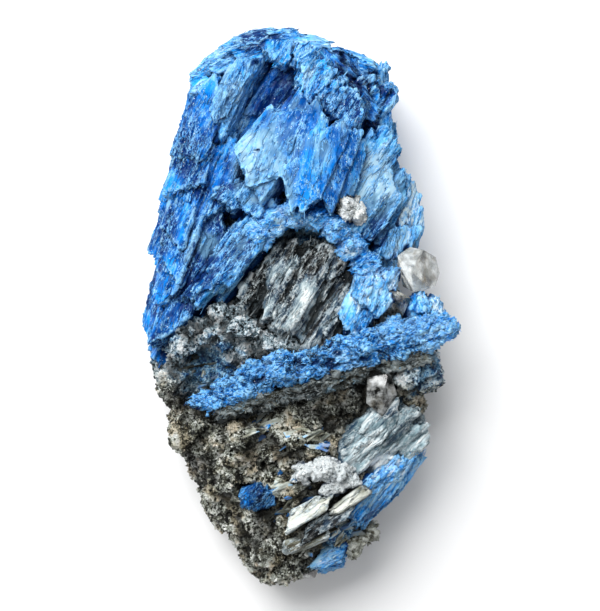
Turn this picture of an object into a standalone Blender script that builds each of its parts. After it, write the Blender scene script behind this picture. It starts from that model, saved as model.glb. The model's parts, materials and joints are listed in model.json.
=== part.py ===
"""A hand specimen of kyanite: sprays of blue blades grown through mica schist, with quartz and feldspar.

Frame: metres, +Z up. The specimen lies on its flat broken back at Z = 0, its show face up.
+Y runs along its length to the blue end, +X across it, and the origin is under its middle.
Every crystal or spray is one solid. Neighbours meet face to face across a parting of GAP.
"""

import math
import random
from dataclasses import dataclass

import bmesh
import bpy
from mathutils import Matrix, Vector

MM = 0.001
GAP = 0.3 * MM
LENGTH = 110.0
WIDTH = 62.6
HEIGHT = 37.5
POINTED_SHARE = 0.45

# Host rock, from the blue end to the foot: Y, left edge, right edge, height of the face (mm), and
# how far it keeps its width above its lowest third. It is narrow where the blue sprays clothe it.
ROCK_STATIONS = (
    (47.5, -12.0, 12.0, 15.0, 0.66),
    (40.0, -17.0, 14.5, 19.0, 0.64),
    (31.0, -19.6, 15.6, 21.0, 0.64),
    (20.0, -22.4, 18.2, 22.0, 0.68),
    (9.0, -25.0, 20.6, 22.5, 0.76),
    (-1.0, -27.0, 25.5, 24.5, 0.9),
    (-9.0, -29.0, 28.5, 26.5, 1.0),
    (-15.0, -28.2, 29.6, 26.5, 1.0),
    (-21.0, -26.6, 26.5, 25.0, 1.0),
    (-30.5, -22.8, 21.2, 27.0, 1.0),
    (-40.0, -17.6, 17.0, 25.5, 1.0),
    (-46.0, -13.6, 12.0, 23.5, 1.0),
    (-51.0, -10.0, 7.0, 20.5, 1.0),
    (-54.4, -7.0, 1.0, 16.5, 1.0),
)
# One ring round the rock: share of the half width, share of the height.
ROCK_RING = (
    (-0.70, 0.0),
    (0.0, 0.0),
    (0.70, 0.0),
    (0.93, 0.22),
    (1.0, 0.48),
    (0.90, 0.76),
    (0.55, 0.95),
    (0.0, 1.0),
    (-0.55, 0.95),
    (-0.90, 0.76),
    (-1.0, 0.48),
    (-0.93, 0.22),
)
ROCK_ROUGHNESS = 0.7

# Colours of the minerals: base colour, roughness.
MINERALS = {
    "blue_kyanite": ((0.03, 0.20, 0.60), 0.35),
    "pale_kyanite": ((0.22, 0.42, 0.68), 0.35),
    "grey_kyanite": ((0.20, 0.25, 0.28), 0.4),
    "blue_crust": ((0.05, 0.28, 0.70), 0.6),
    "mica_schist": ((0.16, 0.15, 0.12), 0.7),
    "feldspar": ((0.75, 0.76, 0.72), 0.5),
    "quartz": ((0.50, 0.50, 0.46), 0.2),
}


@dataclass
class Blade:
    """A flat six-sided blade. Lean turns its top end clockwise, rise lifts it, roll turns its face to +X."""

    x: float
    y: float
    z: float
    length: float
    width: float
    thick: float
    lean: float
    rise: float = 0.0
    roll: float = 0.0


def row(start, end, count, blade, wander, seed, bow=0.0):
    """Blades like the given one, en echelon from start to end, each a little different."""
    rng = random.Random(seed)
    made = []
    for i in range(count):
        share = i / max(count - 1, 1)
        x, y, z = (a + (b - a) * share for a, b in zip(start, end))
        x += bow * math.sin(math.pi * share)
        made.append(
            Blade(
                x,
                y,
                z + rng.uniform(-0.6, 0.6),
                blade.length * rng.uniform(0.85, 1.15),
                blade.width * rng.uniform(0.85, 1.2),
                blade.thick * rng.uniform(0.9, 1.15),
                blade.lean + rng.uniform(-wander, wander),
                blade.rise + rng.uniform(-wander, wander) * 0.4,
                blade.roll + rng.uniform(-wander, wander),
            )
        )
    return made


def new_object(name, bm):
    mesh = bpy.data.meshes.new(name)
    bmesh.ops.recalc_face_normals(bm, faces=bm.faces)
    bm.to_mesh(mesh)
    bm.free()
    made = bpy.data.objects.new(name, mesh)
    bpy.context.scene.collection.objects.link(made)
    return made


def offset_outline(outline, grow):
    """A convex outline with every edge moved outwards by grow."""
    points = [Vector(point) for point in outline]
    moved = []
    for before, here, after in zip(points[-1:] + points[:-1], points, points[1:] + points[:1]):
        come, go = (here - before).normalized(), (after - here).normalized()
        out = Vector((come.y, -come.x)) + Vector((go.y, -go.x))
        moved.append(here + out * grow / (1 + come.dot(go)))
    return moved


def blade_solid(blade, rng, grow):
    """One blade, its ends pointed or cut askew, larger by grow on every side."""
    half_width = blade.width * MM / 2
    half_length = blade.length * MM / 2
    half_thick = blade.thick * MM / 2 + grow
    outline = []
    for end in (-1, 1):
        slopes = [min(rng.uniform(0.3, 1.1) * half_width * 2, half_length * 0.7) for _ in range(2)]
        tip = rng.uniform(-0.5, 0.5) * half_width
        pointed = rng.random() < POINTED_SHARE
        if not pointed:
            slopes[rng.randrange(2)] = 0.0
        left = (-half_width * end, (half_length - slopes[0]) * end)
        right = (half_width * end, (half_length - slopes[1]) * end)
        point = [(tip, half_length * end)] if pointed else []
        outline += [right, *point, left]
    bm = bmesh.new()
    corners = [bm.verts.new((x, y, -half_thick)) for x, y in offset_outline(outline, grow)]
    face = bm.faces.new(corners)
    raised = bmesh.ops.extrude_face_region(bm, geom=[face])["geom"]
    top = [item for item in raised if isinstance(item, bmesh.types.BMVert)]
    bmesh.ops.translate(bm, vec=(0, 0, 2 * half_thick), verts=top)
    turn = (
        Matrix.Translation(Vector((blade.x, blade.y, blade.z)) * MM)
        @ Matrix.Rotation(math.radians(-blade.lean), 4, "Z")
        @ Matrix.Rotation(math.radians(blade.rise), 4, "X")
        @ Matrix.Rotation(math.radians(blade.roll), 4, "Y")
    )
    bm.transform(turn)
    return new_object("blade", bm)


def nugget_solid(nugget, rng, grow):
    """A rough grain: centre x, y, z and radii rx, ry, rz in mm."""
    x, y, z, rx, ry, rz = nugget
    bm = bmesh.new()
    bmesh.ops.create_icosphere(bm, subdivisions=1, radius=1)
    for vert in bm.verts:
        vert.co *= rng.uniform(0.88, 1.14)
    bm.transform(Matrix.Rotation(rng.uniform(0, math.pi), 4, "Z"))
    bm.transform(Matrix.Diagonal((rx * MM + grow, ry * MM + grow, rz * MM + grow, 1)))
    bm.transform(Matrix.Translation(Vector((x, y, z)) * MM))
    return new_object("nugget", bm)


def faceted_solid(points, grow):
    """A crystal with flat faces: the hull of its corners in mm."""
    centre = sum((Vector(p) for p in points), Vector()) / len(points)
    bm = bmesh.new()
    for point in points:
        out = Vector(point) - centre
        bm.verts.new((centre + out) * MM + out.normalized() * grow * 1.8)
    hull = bmesh.ops.convex_hull(bm, input=bm.verts)
    unused = [v for v in hull["geom_unused"] if isinstance(v, bmesh.types.BMVert)]
    bmesh.ops.delete(bm, geom=unused, context="VERTS")
    return new_object("facets", bm)


def boolean(base, others, operation):
    """Base with all the other solids joined to it or cut from it. The others are removed."""
    if not others:
        return base
    group = bpy.data.collections.new("operands")
    for other in others:
        group.objects.link(other)
    modifier = base.modifiers.new(operation, "BOOLEAN")
    modifier.operation = operation
    modifier.operand_type = "COLLECTION"
    modifier.collection = group
    modifier.solver = "EXACT"
    graph = bpy.context.evaluated_depsgraph_get()
    mesh = bpy.data.meshes.new_from_object(base.evaluated_get(graph))
    base.modifiers.clear()
    old = base.data
    base.data = mesh
    bpy.data.meshes.remove(old)
    for other in others:
        bpy.data.objects.remove(other)
    bpy.data.collections.remove(group)
    return base


def keep_largest(obj):
    """Drops the crumbs that a cut leaves loose, and keeps the body with the largest box."""
    bm = bmesh.new()
    bm.from_mesh(obj.data)
    bmesh.ops.triangulate(bm, faces=bm.faces)
    unseen = set(bm.verts)
    bodies = []
    while unseen:
        body, todo = set(), [unseen.pop()]
        while todo:
            vert = todo.pop()
            body.add(vert)
            for edge in vert.link_edges:
                far = edge.other_vert(vert)
                if far in unseen:
                    unseen.remove(far)
                    todo.append(far)
        bodies.append(body)

    def size(body):
        spans = [[v.co[axis] for v in body] for axis in range(3)]
        return math.prod(max(span) - min(span) for span in spans)

    bodies.sort(key=size)
    for body in bodies[:-1]:
        bmesh.ops.delete(bm, geom=list(body), context="VERTS")
    bm.to_mesh(obj.data)
    bm.free()


def spray(blades, nuggets=(), facets=(), seed=0):
    """A maker of one crystal or spray, which can be asked for again a little larger as a cutter."""

    def make(grow):
        rng = random.Random(seed)
        solids = [blade_solid(blade, rng, grow) for blade in blades]
        solids += [nugget_solid(nugget, rng, grow) for nugget in nuggets]
        solids += [faceted_solid(points, grow) for points in facets]
        return boolean(solids[0], solids[1:], "UNION")

    return make


def shield_blades():
    """The broad face of near-parallel blades at the middle of the blue end."""
    return [
        Blade(1.8, 29.4, 27.0, 21, 15.0, 8, 33),
        Blade(-6.0, 31.4, 30.8, 13, 6.0, 7, 42, 3, -14),
        Blade(-2.6, 33.6, 31.6, 12, 6.0, 7, 42, 3, -8),
        Blade(-2.0, 29.8, 32.0, 19, 6.0, 7, 40, 3, -6),
        Blade(1.2, 31.2, 32.6, 18, 5.5, 7, 38, 2, 0),
        Blade(2.8, 27.4, 32.8, 19, 5.2, 7, 32, 2, -4),
        Blade(5.4, 27.0, 33.0, 19, 5.0, 7, 26, 2, 2),
        Blade(7.6, 26.6, 32.2, 17, 5.0, 7, 20, 2, 10),
        Blade(9.4, 25.8, 30.6, 15, 4.5, 7, 15, 2, 26),
        Blade(-4.4, 26.0, 30.6, 12, 6.0, 7, 38, 0, -14),
    ]


def side_shield_blades():
    """The lower, greyer face of blades beside the shield."""
    return [
        Blade(14.2, 22.4, 22.4, 19, 10.0, 8, 33, 0, 16),
        Blade(11.4, 24.8, 27.2, 21, 5.0, 7, 34, 0, 6),
        Blade(14.0, 25.4, 27.0, 20, 5.5, 7, 34, 0, 14),
        Blade(16.2, 26.2, 25.2, 16, 5.5, 7, 30, 0, 30),
        Blade(15.4, 18.8, 26.2, 17, 5.5, 7, 36, 0, 14),
        Blade(12.4, 18.0, 26.8, 13, 5.0, 7, 34, 0, 4),
        Blade(17.6, 20.2, 24.2, 16, 5.5, 7, 27, 0, 32),
    ]


def right_tip_blades():
    """The free blades that stick out as a point on the right."""
    return [
        Blade(20.6, 19.6, 20.4, 14, 4.6, 9, 10, 0, 38),
        Blade(21.2, 15.4, 19.6, 11, 5.0, 9, 16, 0, 42),
        Blade(19.4, 13.6, 21.8, 10, 5.5, 9, 30, 0, 24),
    ]


def ridge_blades():
    """The scaly ridge that runs down to the right from the peak of the blue end."""
    steps = row((3.4, 45.4, 28.2), (11.6, 36.8, 28.8), 5, Blade(0, 0, 0, 9, 4.6, 7, 24), 22, 21)
    peak = [
        Blade(7.4, 41.0, 24.0, 16, 5.5, 9, -45),
        Blade(-2.2, 49.0, 26.4, 5.5, 4.2, 8, 58, 4, -10),
        Blade(2.6, 47.4, 27.0, 7.0, 4.2, 8, -24, 4, 10),
    ]
    return peak + steps


def scaly_blades():
    """Short broken blades on the slope right of the ridge."""
    bed = [Blade(9.4, 44.4, 18.0, 13, 8.0, 9, 118)]
    upper = row((5.2, 47.6, 23.6), (13.0, 43.4, 22.6), 4, Blade(0, 0, 0, 9, 4.6, 8, 150), 24, 31)
    lower = row((8.8, 43.2, 24.4), (12.0, 40.0, 24.0), 2, Blade(0, 0, 0, 9, 4.4, 8, 140), 18, 32)
    return bed + upper + lower


def left_limb_blades():
    """The upright wall left of the dark recess."""
    return [
        Blade(-9.2, 45.2, 25.4, 8, 3.6, 10, 34, 2, -14),
        Blade(-11.2, 41.2, 25.2, 13, 4.0, 10, 26, 0, -20),
        Blade(-12.8, 36.6, 24.4, 12, 4.0, 9, 24, 0, -20),
    ]


def recess_blades():
    """Dark blades deep between the left limb and the shield."""
    return [
        Blade(-3.0, 43.2, 20.4, 16, 8.5, 8, 33, 0, 14),
        Blade(-6.8, 38.2, 19.2, 18, 7.5, 8, 35, 0, 14),
        Blade(-9.6, 32.0, 18.4, 14, 6.0, 8, 32, 0, 10),
    ]


def striated_blades():
    """Thin blades on edge, which show as dark and light stripes."""
    bed = [Blade(13.0, 39.4, 18.4, 15, 7.5, 7, 38)]
    return bed + row(
        (9.6, 40.2, 23.4), (15.4, 37.6, 21.8), 6, Blade(0, 0, 0, 14, 2.0, 7, 39, 0, 10), 3, 41
    )


def right_edge_blades():
    """Blades down the upper right edge."""
    edge = row((13.6, 43.0, 16.6), (14.6, 33.0, 17.2), 3, Blade(0, 0, 0, 13, 8, 8, 6, 0, 56), 6, 51)
    return edge + [Blade(15.0, 35.6, 20.8, 13, 5.0, 8, 22, 0, 32)]


def crest_blades():
    """Blades across the end of the specimen, their sides up and their ends broken off."""
    return [
        Blade(-1.0, 46.6, 14.0, 27, 8.0, 16, 92),
        Blade(-14.2, 44.4, 15.6, 11, 6.2, 16, 46, 0, -20),
        Blade(-11.2, 47.6, 16.8, 11, 6.0, 17, 62, 0, -14),
        Blade(-6.6, 49.8, 17.6, 12, 6.2, 18, 76, 0, -8),
        Blade(-1.4, 50.6, 18.2, 12, 6.2, 19, 86, 0, -3),
        Blade(4.0, 49.8, 18.2, 12, 6.2, 18, 102, 0, 2),
        Blade(9.6, 48.2, 17.4, 12, 6.2, 17, 112, 0, 7),
        Blade(13.2, 45.4, 16.2, 10, 6.2, 16, 128, 0, 13),
    ]


def left_bundle_blades():
    """The long bundle down the left side: an outer row on edge and a front row that faces up."""
    bed = [Blade(-18.6, 19.4, 15.6, 42, 9.0, 9, 12, 0, -40)]
    outer = row(
        (-17.6, 37.6, 17.0), (-24.8, 1.0, 14.4), 6, Blade(0, 0, 0, 22, 9, 6, 17, 0, -54), 6, 61, -1.0
    )
    front = row(
        (-16.6, 36.2, 24.8), (-21.8, 0.8, 21.2), 6, Blade(0, 0, 0, 20, 6.4, 7, 23, 0, -24), 6, 62, -0.8
    )
    inner = row((-13.6, 25.0, 24.2), (-16.8, 11.0, 22.6), 2, Blade(0, 0, 0, 20, 4.6, 7, 25, 0, -6), 6, 63)
    return bed + outer + front + inner


def left_flank_blades():
    """Blades low on the left side, seen only from the side."""
    return row((-16.6, 32.0, 7.0), (-21.2, 8.0, 7.0), 3, Blade(0, 0, 0, 21, 8.5, 5, 10, 0, -84), 3, 64)


def right_flank_blades():
    """Blades low on the right side, seen only from the side."""
    return row((13.8, 33.0, 7.0), (17.8, 13.0, 7.0), 3, Blade(0, 0, 0, 19, 8.5, 5, -10, 0, 84), 3, 65)


def mid_left_blades():
    """Blades right of the grey crevice, under a small crusted arch."""
    return [
        Blade(-11.0, 10.6, 21.6, 20, 8.0, 7, 39),
        Blade(-14.6, 8.8, 24.6, 20, 2.8, 7, 38, 0, -14),
        Blade(-12.6, 9.6, 25.8, 22, 3.0, 7, 38, 0, -10),
        Blade(-10.6, 10.6, 26.8, 22, 3.2, 7, 39, 0, -8),
        Blade(-8.4, 11.4, 27.4, 20, 3.2, 7, 40, 0, -4),
        Blade(-11.4, 21.4, 25.6, 9, 4.6, 8, 62, 0, -8),
        Blade(-6.8, 20.6, 27.4, 9, 4.8, 8, 122, 0, 4),
    ]


def crust_nuggets():
    """The granular blue arch over the grey fan."""
    line = (
        (-6.6, 14.2, 28.2),
        (-3.6, 17.2, 29.0),
        (0.6, 18.4, 29.4),
        (4.8, 17.8, 29.4),
        (8.4, 15.4, 29.0),
        (11.2, 12.0, 28.2),
        (13.8, 8.6, 27.4),
        (16.4, 5.0, 26.8),
    )
    return [(x, y, z, 3.2, 2.9, 4.4) for x, y, z in line]


def fan_blades():
    """Grey blades that spread downwards inside the arch."""
    count = 7
    made = [Blade(2.4, 2.8, 21.0, 21, 15, 6.5, 32)]
    for i in range(count):
        share = i / (count - 1)
        made.append(
            Blade(
                -4.8 + 14.0 * share,
                6.4 - 5.2 * share,
                25.4 - 1.2 * math.cos(share * 2 * math.pi),
                17.0 + 6.0 * share,
                3.1,
                7.0,
                40 - 17 * share,
                -3,
                -18 + 40 * share,
            )
        )
    return made


# The crumbly blue vein across the middle: X, Y, half width.
VEIN_PATH = (
    (-16.0, -18.4, 1.9),
    (-12.2, -16.4, 2.7),
    (-7.6, -14.0, 3.4),
    (-2.2, -12.2, 3.7),
    (3.4, -10.9, 3.7),
    (9.0, -9.3, 3.8),
    (14.6, -7.5, 3.7),
    (20.0, -6.0, 3.7),
    (24.8, -5.0, 3.6),
    (28.2, -3.8, 2.8),
)

# The blade that all of the vein's lumps sit on.
VEIN_BED = Blade(6.2, -10.4, 24.6, 43, 5.4, 5, 71.5)


def vein_nuggets():
    """The crumbly lumps of the vein, flattened, in a line along its path."""
    rng = random.Random(72)
    made = []
    for i, (x, y, half) in enumerate(VEIN_PATH):
        bow = math.sin(i / (len(VEIN_PATH) - 1) * math.pi)
        z = 27.4 + 1.4 * bow + rng.uniform(-0.5, 0.5)
        made.append((x, y + rng.uniform(-0.4, 0.4), z, rng.uniform(4.0, 4.8), half, 2.6 + 0.8 * bow))
    return made


def ledge_blades():
    """The thin grey mica ledge under the vein."""
    return row((-2.4, -17.0, 25.4), (16.6, -11.6, 25.6), 2, Blade(0, 0, 0, 25, 2.8, 7, 74), 2, 71)


def laminated_blades():
    """Grey laminated mica and kyanite along the lower right side."""
    bed = [Blade(17.6, -25.8, 16.6, 16, 8.0, 7, 46, 0, 22)]
    return bed + row(
        (14.6, -23.8, 22.6), (20.2, -28.4, 18.2), 4, Blade(0, 0, 0, 18, 4.0, 7, 46, 0, 22), 4, 81
    )


def lower_blue_blades():
    """Deep blue blades under the laminated ones."""
    return row(
        (14.2, -35.4, 20.2), (18.6, -33.6, 14.4), 4, Blade(0, 0, 0, 16, 4.8, 8, 36, 0, 38), 6, 91
    )


def loft(stations, ring, roughness, seed):
    """A closed body through rings of points along Y, its base kept flat and everything else uneven."""
    rng = random.Random(seed)
    bm = bmesh.new()
    rings = []
    for y, left, right, height, waist in stations:
        middle, half = (left + right) / 2, (right - left) / 2
        points = []
        for across, up in ring:
            if up > 0.3:
                across *= waist
            jitter = Vector([rng.uniform(-roughness, roughness) for _ in range(3)])
            if up == 0:
                jitter.z = 0
            place = Vector((middle + across * half, y, up * height)) + jitter
            points.append(bm.verts.new(place * MM))
        rings.append(points)
    for upper, lower in zip(rings, rings[1:]):
        for i in range(len(ring)):
            j = (i + 1) % len(ring)
            bm.faces.new((upper[i], upper[j], lower[j], lower[i]))
    bm.faces.new(rings[0])
    bm.faces.new(rings[-1])
    bmesh.ops.triangulate(bm, faces=[f for f in bm.faces if any(v.co.z > 0 for v in f.verts)])
    return new_object("rock", bm)


def rock_nuggets():
    """Lumps that stand out of the schist where it shows: its lower half, and the grey mica mass."""
    return [
        (-12.4, -4.0, 23.0, 7.6, 6.0, 6.8),
        (-4.4, -7.6, 23.6, 6.4, 4.6, 6.2),
        (-20.6, -5.6, 21.6, 5.6, 5.2, 6.8),
        (-22.0, -13.8, 17.0, 6.0, 6.0, 8.4),
        (-18.6, -24.0, 18.6, 6.8, 7.4, 9.0),
        (-10.4, -25.6, 22.0, 6.6, 5.8, 7.6),
        (0.4, -27.6, 23.4, 7.2, 4.6, 6.4),
        (-13.4, -34.6, 18.4, 6.0, 6.4, 8.4),
        (-6.4, -46.0, 16.4, 5.4, 7.0, 8.0),
        (24.2, -13.0, 19.6, 6.2, 5.4, 8.4),
    ]


def rock(grow):
    """The schist. It is cut last, so it is never asked for larger."""
    body = loft(ROCK_STATIONS, ROCK_RING, ROCK_ROUGHNESS, 5)
    rng = random.Random(6)
    return boolean(body, [nugget_solid(nugget, rng, grow) for nugget in rock_nuggets()], "UNION")


QUARTZ_CORNERS = (
    (23.0, 7.1, 31.2),
    (25.8, 11.3, 27.0),
    (26.8, 3.7, 27.2),
    (29.4, 6.8, 23.0),
    (28.6, 10.0, 22.6),
    (20.6, 10.1, 27.2),
    (21.2, 7.4, 29.0),
    (23.2, 11.9, 26.0),
    (23.8, 3.0, 27.6),
    (28.4, 4.0, 22.6),
    (21.6, 10.6, 18.6),
    (27.4, 10.4, 18.0),
    (27.6, 4.6, 18.0),
    (22.2, 4.2, 18.6),
)
SMOKY_CORNERS = (
    (17.6, 4.8, 28.6),
    (23.2, 1.9, 28.4),
    (21.6, -1.6, 28.8),
    (19.9, 2.2, 31.6),
    (18.0, 4.0, 21.0),
    (22.8, 1.4, 21.0),
    (21.0, -1.6, 21.0),
)
BROWN_QUARTZ_CORNERS = (
    (14.6, -13.4, 27.2),
    (19.0, -12.6, 28.0),
    (20.6, -17.0, 26.4),
    (17.6, -21.2, 26.8),
    (14.4, -18.6, 27.6),
    (17.6, -17.0, 29.0),
    (14.8, -13.8, 19.0),
    (20.0, -13.6, 18.6),
    (18.0, -21.0, 18.6),
)
POCKET_CORNERS = (
    (-10.4, -36.2, 25.4),
    (-7.4, -34.6, 26.2),
    (-4.0, -35.8, 26.2),
    (-3.8, -38.4, 25.8),
    (-7.2, -39.8, 25.4),
    (-10.2, -38.8, 24.8),
    (-7.0, -37.2, 27.4),
    (-10.0, -36.0, 20.0),
    (-4.2, -36.0, 20.0),
    (-4.6, -39.4, 20.0),
    (-9.8, -39.4, 20.0),
)
FOOT_CORNERS = (
    (0.6, -52.6, 17.6),
    (3.0, -51.0, 18.0),
    (5.2, -52.4, 17.0),
    (4.4, -54.6, 15.6),
    (1.6, -54.8, 15.6),
    (2.8, -53.2, 19.2),
    (0.8, -52.4, 10.6),
    (4.8, -52.2, 10.6),
    (3.0, -54.6, 10.6),
)

# Every piece in the order of fitting: where two meet, the later one is cut back. Name, mineral, maker.
PIECES = (
    ("quartz_crystal", "quartz", spray([], facets=[QUARTZ_CORNERS])),
    ("smoky_quartz_grain", "quartz", spray([], facets=[SMOKY_CORNERS])),
    ("brown_quartz", "quartz", spray([], facets=[BROWN_QUARTZ_CORNERS])),
    ("pocket_crystal", "blue_kyanite", spray([], facets=[POCKET_CORNERS])),
    ("foot_crystal", "quartz", spray([], facets=[FOOT_CORNERS])),
    ("foot_chip", "pale_kyanite", spray([Blade(8.0, -50.8, 14.6, 7.5, 3.4, 8, 74, 0, -14)], seed=1)),
    (
        "foot_grains",
        "feldspar",
        spray([], [(12.2, -47.6, 16.0, 2.4, 2.8, 4.0), (15.0, -45.6, 15.0, 2.2, 2.6, 4.0)], seed=2),
    ),
    (
        "upper_feldspar",
        "feldspar",
        spray([], [(10.4, 19.6, 30.6, 2.0, 2.8, 4.4), (12.4, 18.0, 30.0, 1.5, 2.2, 4.0)], seed=3),
    ),
    (
        "lower_feldspar",
        "feldspar",
        spray(
            [Blade(-2.6, -32.6, 26.4, 11, 1.6, 5, 122, 0, 14), Blade(9.0, -35.0, 25.4, 8, 2.0, 5, 70, 0, -8)],
            [
                (2.8, -31.8, 26.4, 2.6, 2.0, 3.6),
                (6.2, -31.4, 26.8, 2.8, 2.6, 3.8),
                (9.4, -32.4, 26.0, 2.2, 2.0, 3.6),
            ],
            seed=4,
        ),
    ),
    ("white_lath", "feldspar", spray([Blade(3.2, -39.8, 26.0, 12, 3.4, 5, 61, 0, -12)], seed=5)),
    ("brown_lath", "grey_kyanite", spray([Blade(11.0, -38.0, 25.4, 8.8, 2.0, 5, 56, 0, -8)], seed=6)),
    ("pale_lath", "feldspar", spray([Blade(2.9, -45.8, 23.4, 10, 2.4, 5, 68, 0, -14)], seed=7)),
    ("dark_lath", "grey_kyanite", spray([Blade(6.4, -42.2, 24.2, 13, 3.0, 6, 60, 0, -6)], seed=8)),
    ("crust_arch", "blue_crust", spray([], crust_nuggets(), seed=23)),
    ("shield_spray", "pale_kyanite", spray(shield_blades(), seed=11)),
    ("side_shield_spray", "pale_kyanite", spray(side_shield_blades(), seed=12)),
    ("right_tip_spray", "blue_kyanite", spray(right_tip_blades(), seed=13)),
    ("ridge_spray", "pale_kyanite", spray(ridge_blades(), seed=14)),
    ("left_limb_spray", "pale_kyanite", spray(left_limb_blades(), seed=15)),
    ("striated_spray", "blue_kyanite", spray(striated_blades(), seed=16)),
    ("scaly_spray", "blue_kyanite", spray(scaly_blades(), seed=17)),
    ("right_edge_spray", "blue_kyanite", spray(right_edge_blades(), seed=18)),
    ("recess_spray", "blue_kyanite", spray(recess_blades(), seed=19)),
    ("crest_spray", "blue_kyanite", spray(crest_blades(), seed=20)),
    ("left_bundle", "blue_kyanite", spray(left_bundle_blades(), seed=21)),
    ("left_flank_spray", "blue_kyanite", spray(left_flank_blades(), seed=31)),
    ("right_flank_spray", "blue_kyanite", spray(right_flank_blades(), seed=32)),
    ("mid_left_spray", "pale_kyanite", spray(mid_left_blades(), seed=22)),
    ("grey_fan", "grey_kyanite", spray(fan_blades(), seed=24)),
    (
        "cleavage_block",
        "blue_kyanite",
        spray(
            [Blade(15.6, 3.4, 26.4, 10, 8.0, 9, 12, 0, 6), Blade(12.6, -1.8, 25.0, 9, 6.0, 9, 30, 0, -6)],
            seed=25,
        ),
    ),
    (
        "bright_block",
        "blue_crust",
        spray([], [(25.6, -0.2, 24.4, 4.6, 3.2, 5.0), (28.0, -3.0, 23.0, 3.0, 2.6, 5.0)], seed=26),
    ),
    ("blue_vein", "blue_crust", spray([VEIN_BED], vein_nuggets(), seed=27)),
    ("mica_ledge", "mica_schist", spray(ledge_blades(), seed=28)),
    ("laminated_spray", "grey_kyanite", spray(laminated_blades(), seed=29)),
    ("lower_blue_spray", "blue_kyanite", spray(lower_blue_blades(), seed=30)),
    ("schist_rock", "mica_schist", rock),
)


def mineral_material(name):
    colour, roughness = MINERALS[name]
    material = bpy.data.materials.new(name)
    material.use_nodes = True
    shader = material.node_tree.nodes["Principled BSDF"]
    shader.inputs["Base Color"].default_value = (*colour, 1)
    shader.inputs["Roughness"].default_value = roughness
    shader.inputs["Metallic"].default_value = 0.0
    return material


def box_of(obj):
    corners = [obj.matrix_world @ Vector(corner) for corner in obj.bound_box]
    low = Vector([min(c[axis] for c in corners) for axis in range(3)])
    high = Vector([max(c[axis] for c in corners) for axis in range(3)])
    return low, high


def boxes_meet(a, b):
    (low_a, high_a), (low_b, high_b) = box_of(a), box_of(b)
    return all(low_a[i] < high_b[i] and low_b[i] < high_a[i] for i in range(3))


def fit_to_size(pieces):
    """Brings the whole specimen to its length, width and height, centred on the origin, its base at Z = 0."""
    boxes = [box_of(piece) for piece in pieces]
    low = Vector([min(box[0][axis] for box in boxes) for axis in range(3)])
    high = Vector([max(box[1][axis] for box in boxes) for axis in range(3)])
    wanted = Vector((WIDTH, LENGTH, HEIGHT)) * MM
    scale = Matrix.Diagonal([wanted[i] / (high[i] - low[i]) for i in range(3)]).to_4x4()
    middle = Matrix.Translation(-Vector(((low.x + high.x) / 2, (low.y + high.y) / 2, low.z)))
    for piece in pieces:
        piece.data.transform(scale @ middle)


def main():
    for old in list(bpy.data.objects):
        bpy.data.objects.remove(old)
    materials = {name: mineral_material(name) for name in MINERALS}
    fitted = []
    for name, mineral, make in PIECES:
        piece = make(0)
        piece.name = name
        bpy.context.view_layer.update()
        cutters = [cutter(GAP) for earlier, cutter in fitted if boxes_meet(piece, earlier)]
        boolean(piece, cutters, "DIFFERENCE")
        keep_largest(piece)
        piece.data.name = name
        piece.data.materials.clear()
        piece.data.materials.append(materials[mineral])
        fitted.append((piece, make))
    bpy.context.view_layer.update()
    fit_to_size([piece for piece, _ in fitted])


main()
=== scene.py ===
"""Looks of a kyanite hand specimen: splintery blue sprays, crusts, mica schist, feldspar and quartz."""

import json
import math
import random

import bpy
from mathutils import Euler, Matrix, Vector

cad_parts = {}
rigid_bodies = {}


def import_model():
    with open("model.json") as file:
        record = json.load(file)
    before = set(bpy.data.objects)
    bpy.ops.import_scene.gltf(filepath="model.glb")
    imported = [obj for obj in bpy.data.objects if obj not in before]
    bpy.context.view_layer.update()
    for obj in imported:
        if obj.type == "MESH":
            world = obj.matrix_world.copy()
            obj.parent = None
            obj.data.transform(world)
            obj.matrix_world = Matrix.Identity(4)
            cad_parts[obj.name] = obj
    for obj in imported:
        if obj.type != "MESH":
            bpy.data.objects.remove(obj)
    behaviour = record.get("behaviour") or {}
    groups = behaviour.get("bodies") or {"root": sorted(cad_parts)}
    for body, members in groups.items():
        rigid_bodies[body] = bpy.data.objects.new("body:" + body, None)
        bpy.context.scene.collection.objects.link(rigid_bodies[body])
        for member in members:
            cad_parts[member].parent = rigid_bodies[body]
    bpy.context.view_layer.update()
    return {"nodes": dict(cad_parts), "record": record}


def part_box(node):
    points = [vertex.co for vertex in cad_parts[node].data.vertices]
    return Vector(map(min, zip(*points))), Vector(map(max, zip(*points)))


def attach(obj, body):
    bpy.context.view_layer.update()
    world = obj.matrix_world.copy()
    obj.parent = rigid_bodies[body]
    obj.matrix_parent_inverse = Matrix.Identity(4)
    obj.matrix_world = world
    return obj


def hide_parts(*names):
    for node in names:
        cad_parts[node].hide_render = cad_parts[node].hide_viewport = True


bl_info = {
    "name": "Kyanite specimen",
    "version": (1, 0, 0),
    "blender": (4, 5, 0),
    "location": "View3D > Sidebar > Specimen",
    "description": "Dresses a kyanite specimen's solids in splinters, grains and mineral finishes",
    "category": "Object",
}

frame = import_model()
MM = 0.001
PANEL_TAB = "Specimen"


def linear(red, green, blue):
    """A screen colour, 0 to 255, as the linear colour that a shader takes."""
    return tuple(
        value / 255 / 12.92 if value <= 10 else ((value / 255 + 0.055) / 1.055) ** 2.4
        for value in (red, green, blue)
    )


# ---------------------------------------------------------------- node trees


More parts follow.
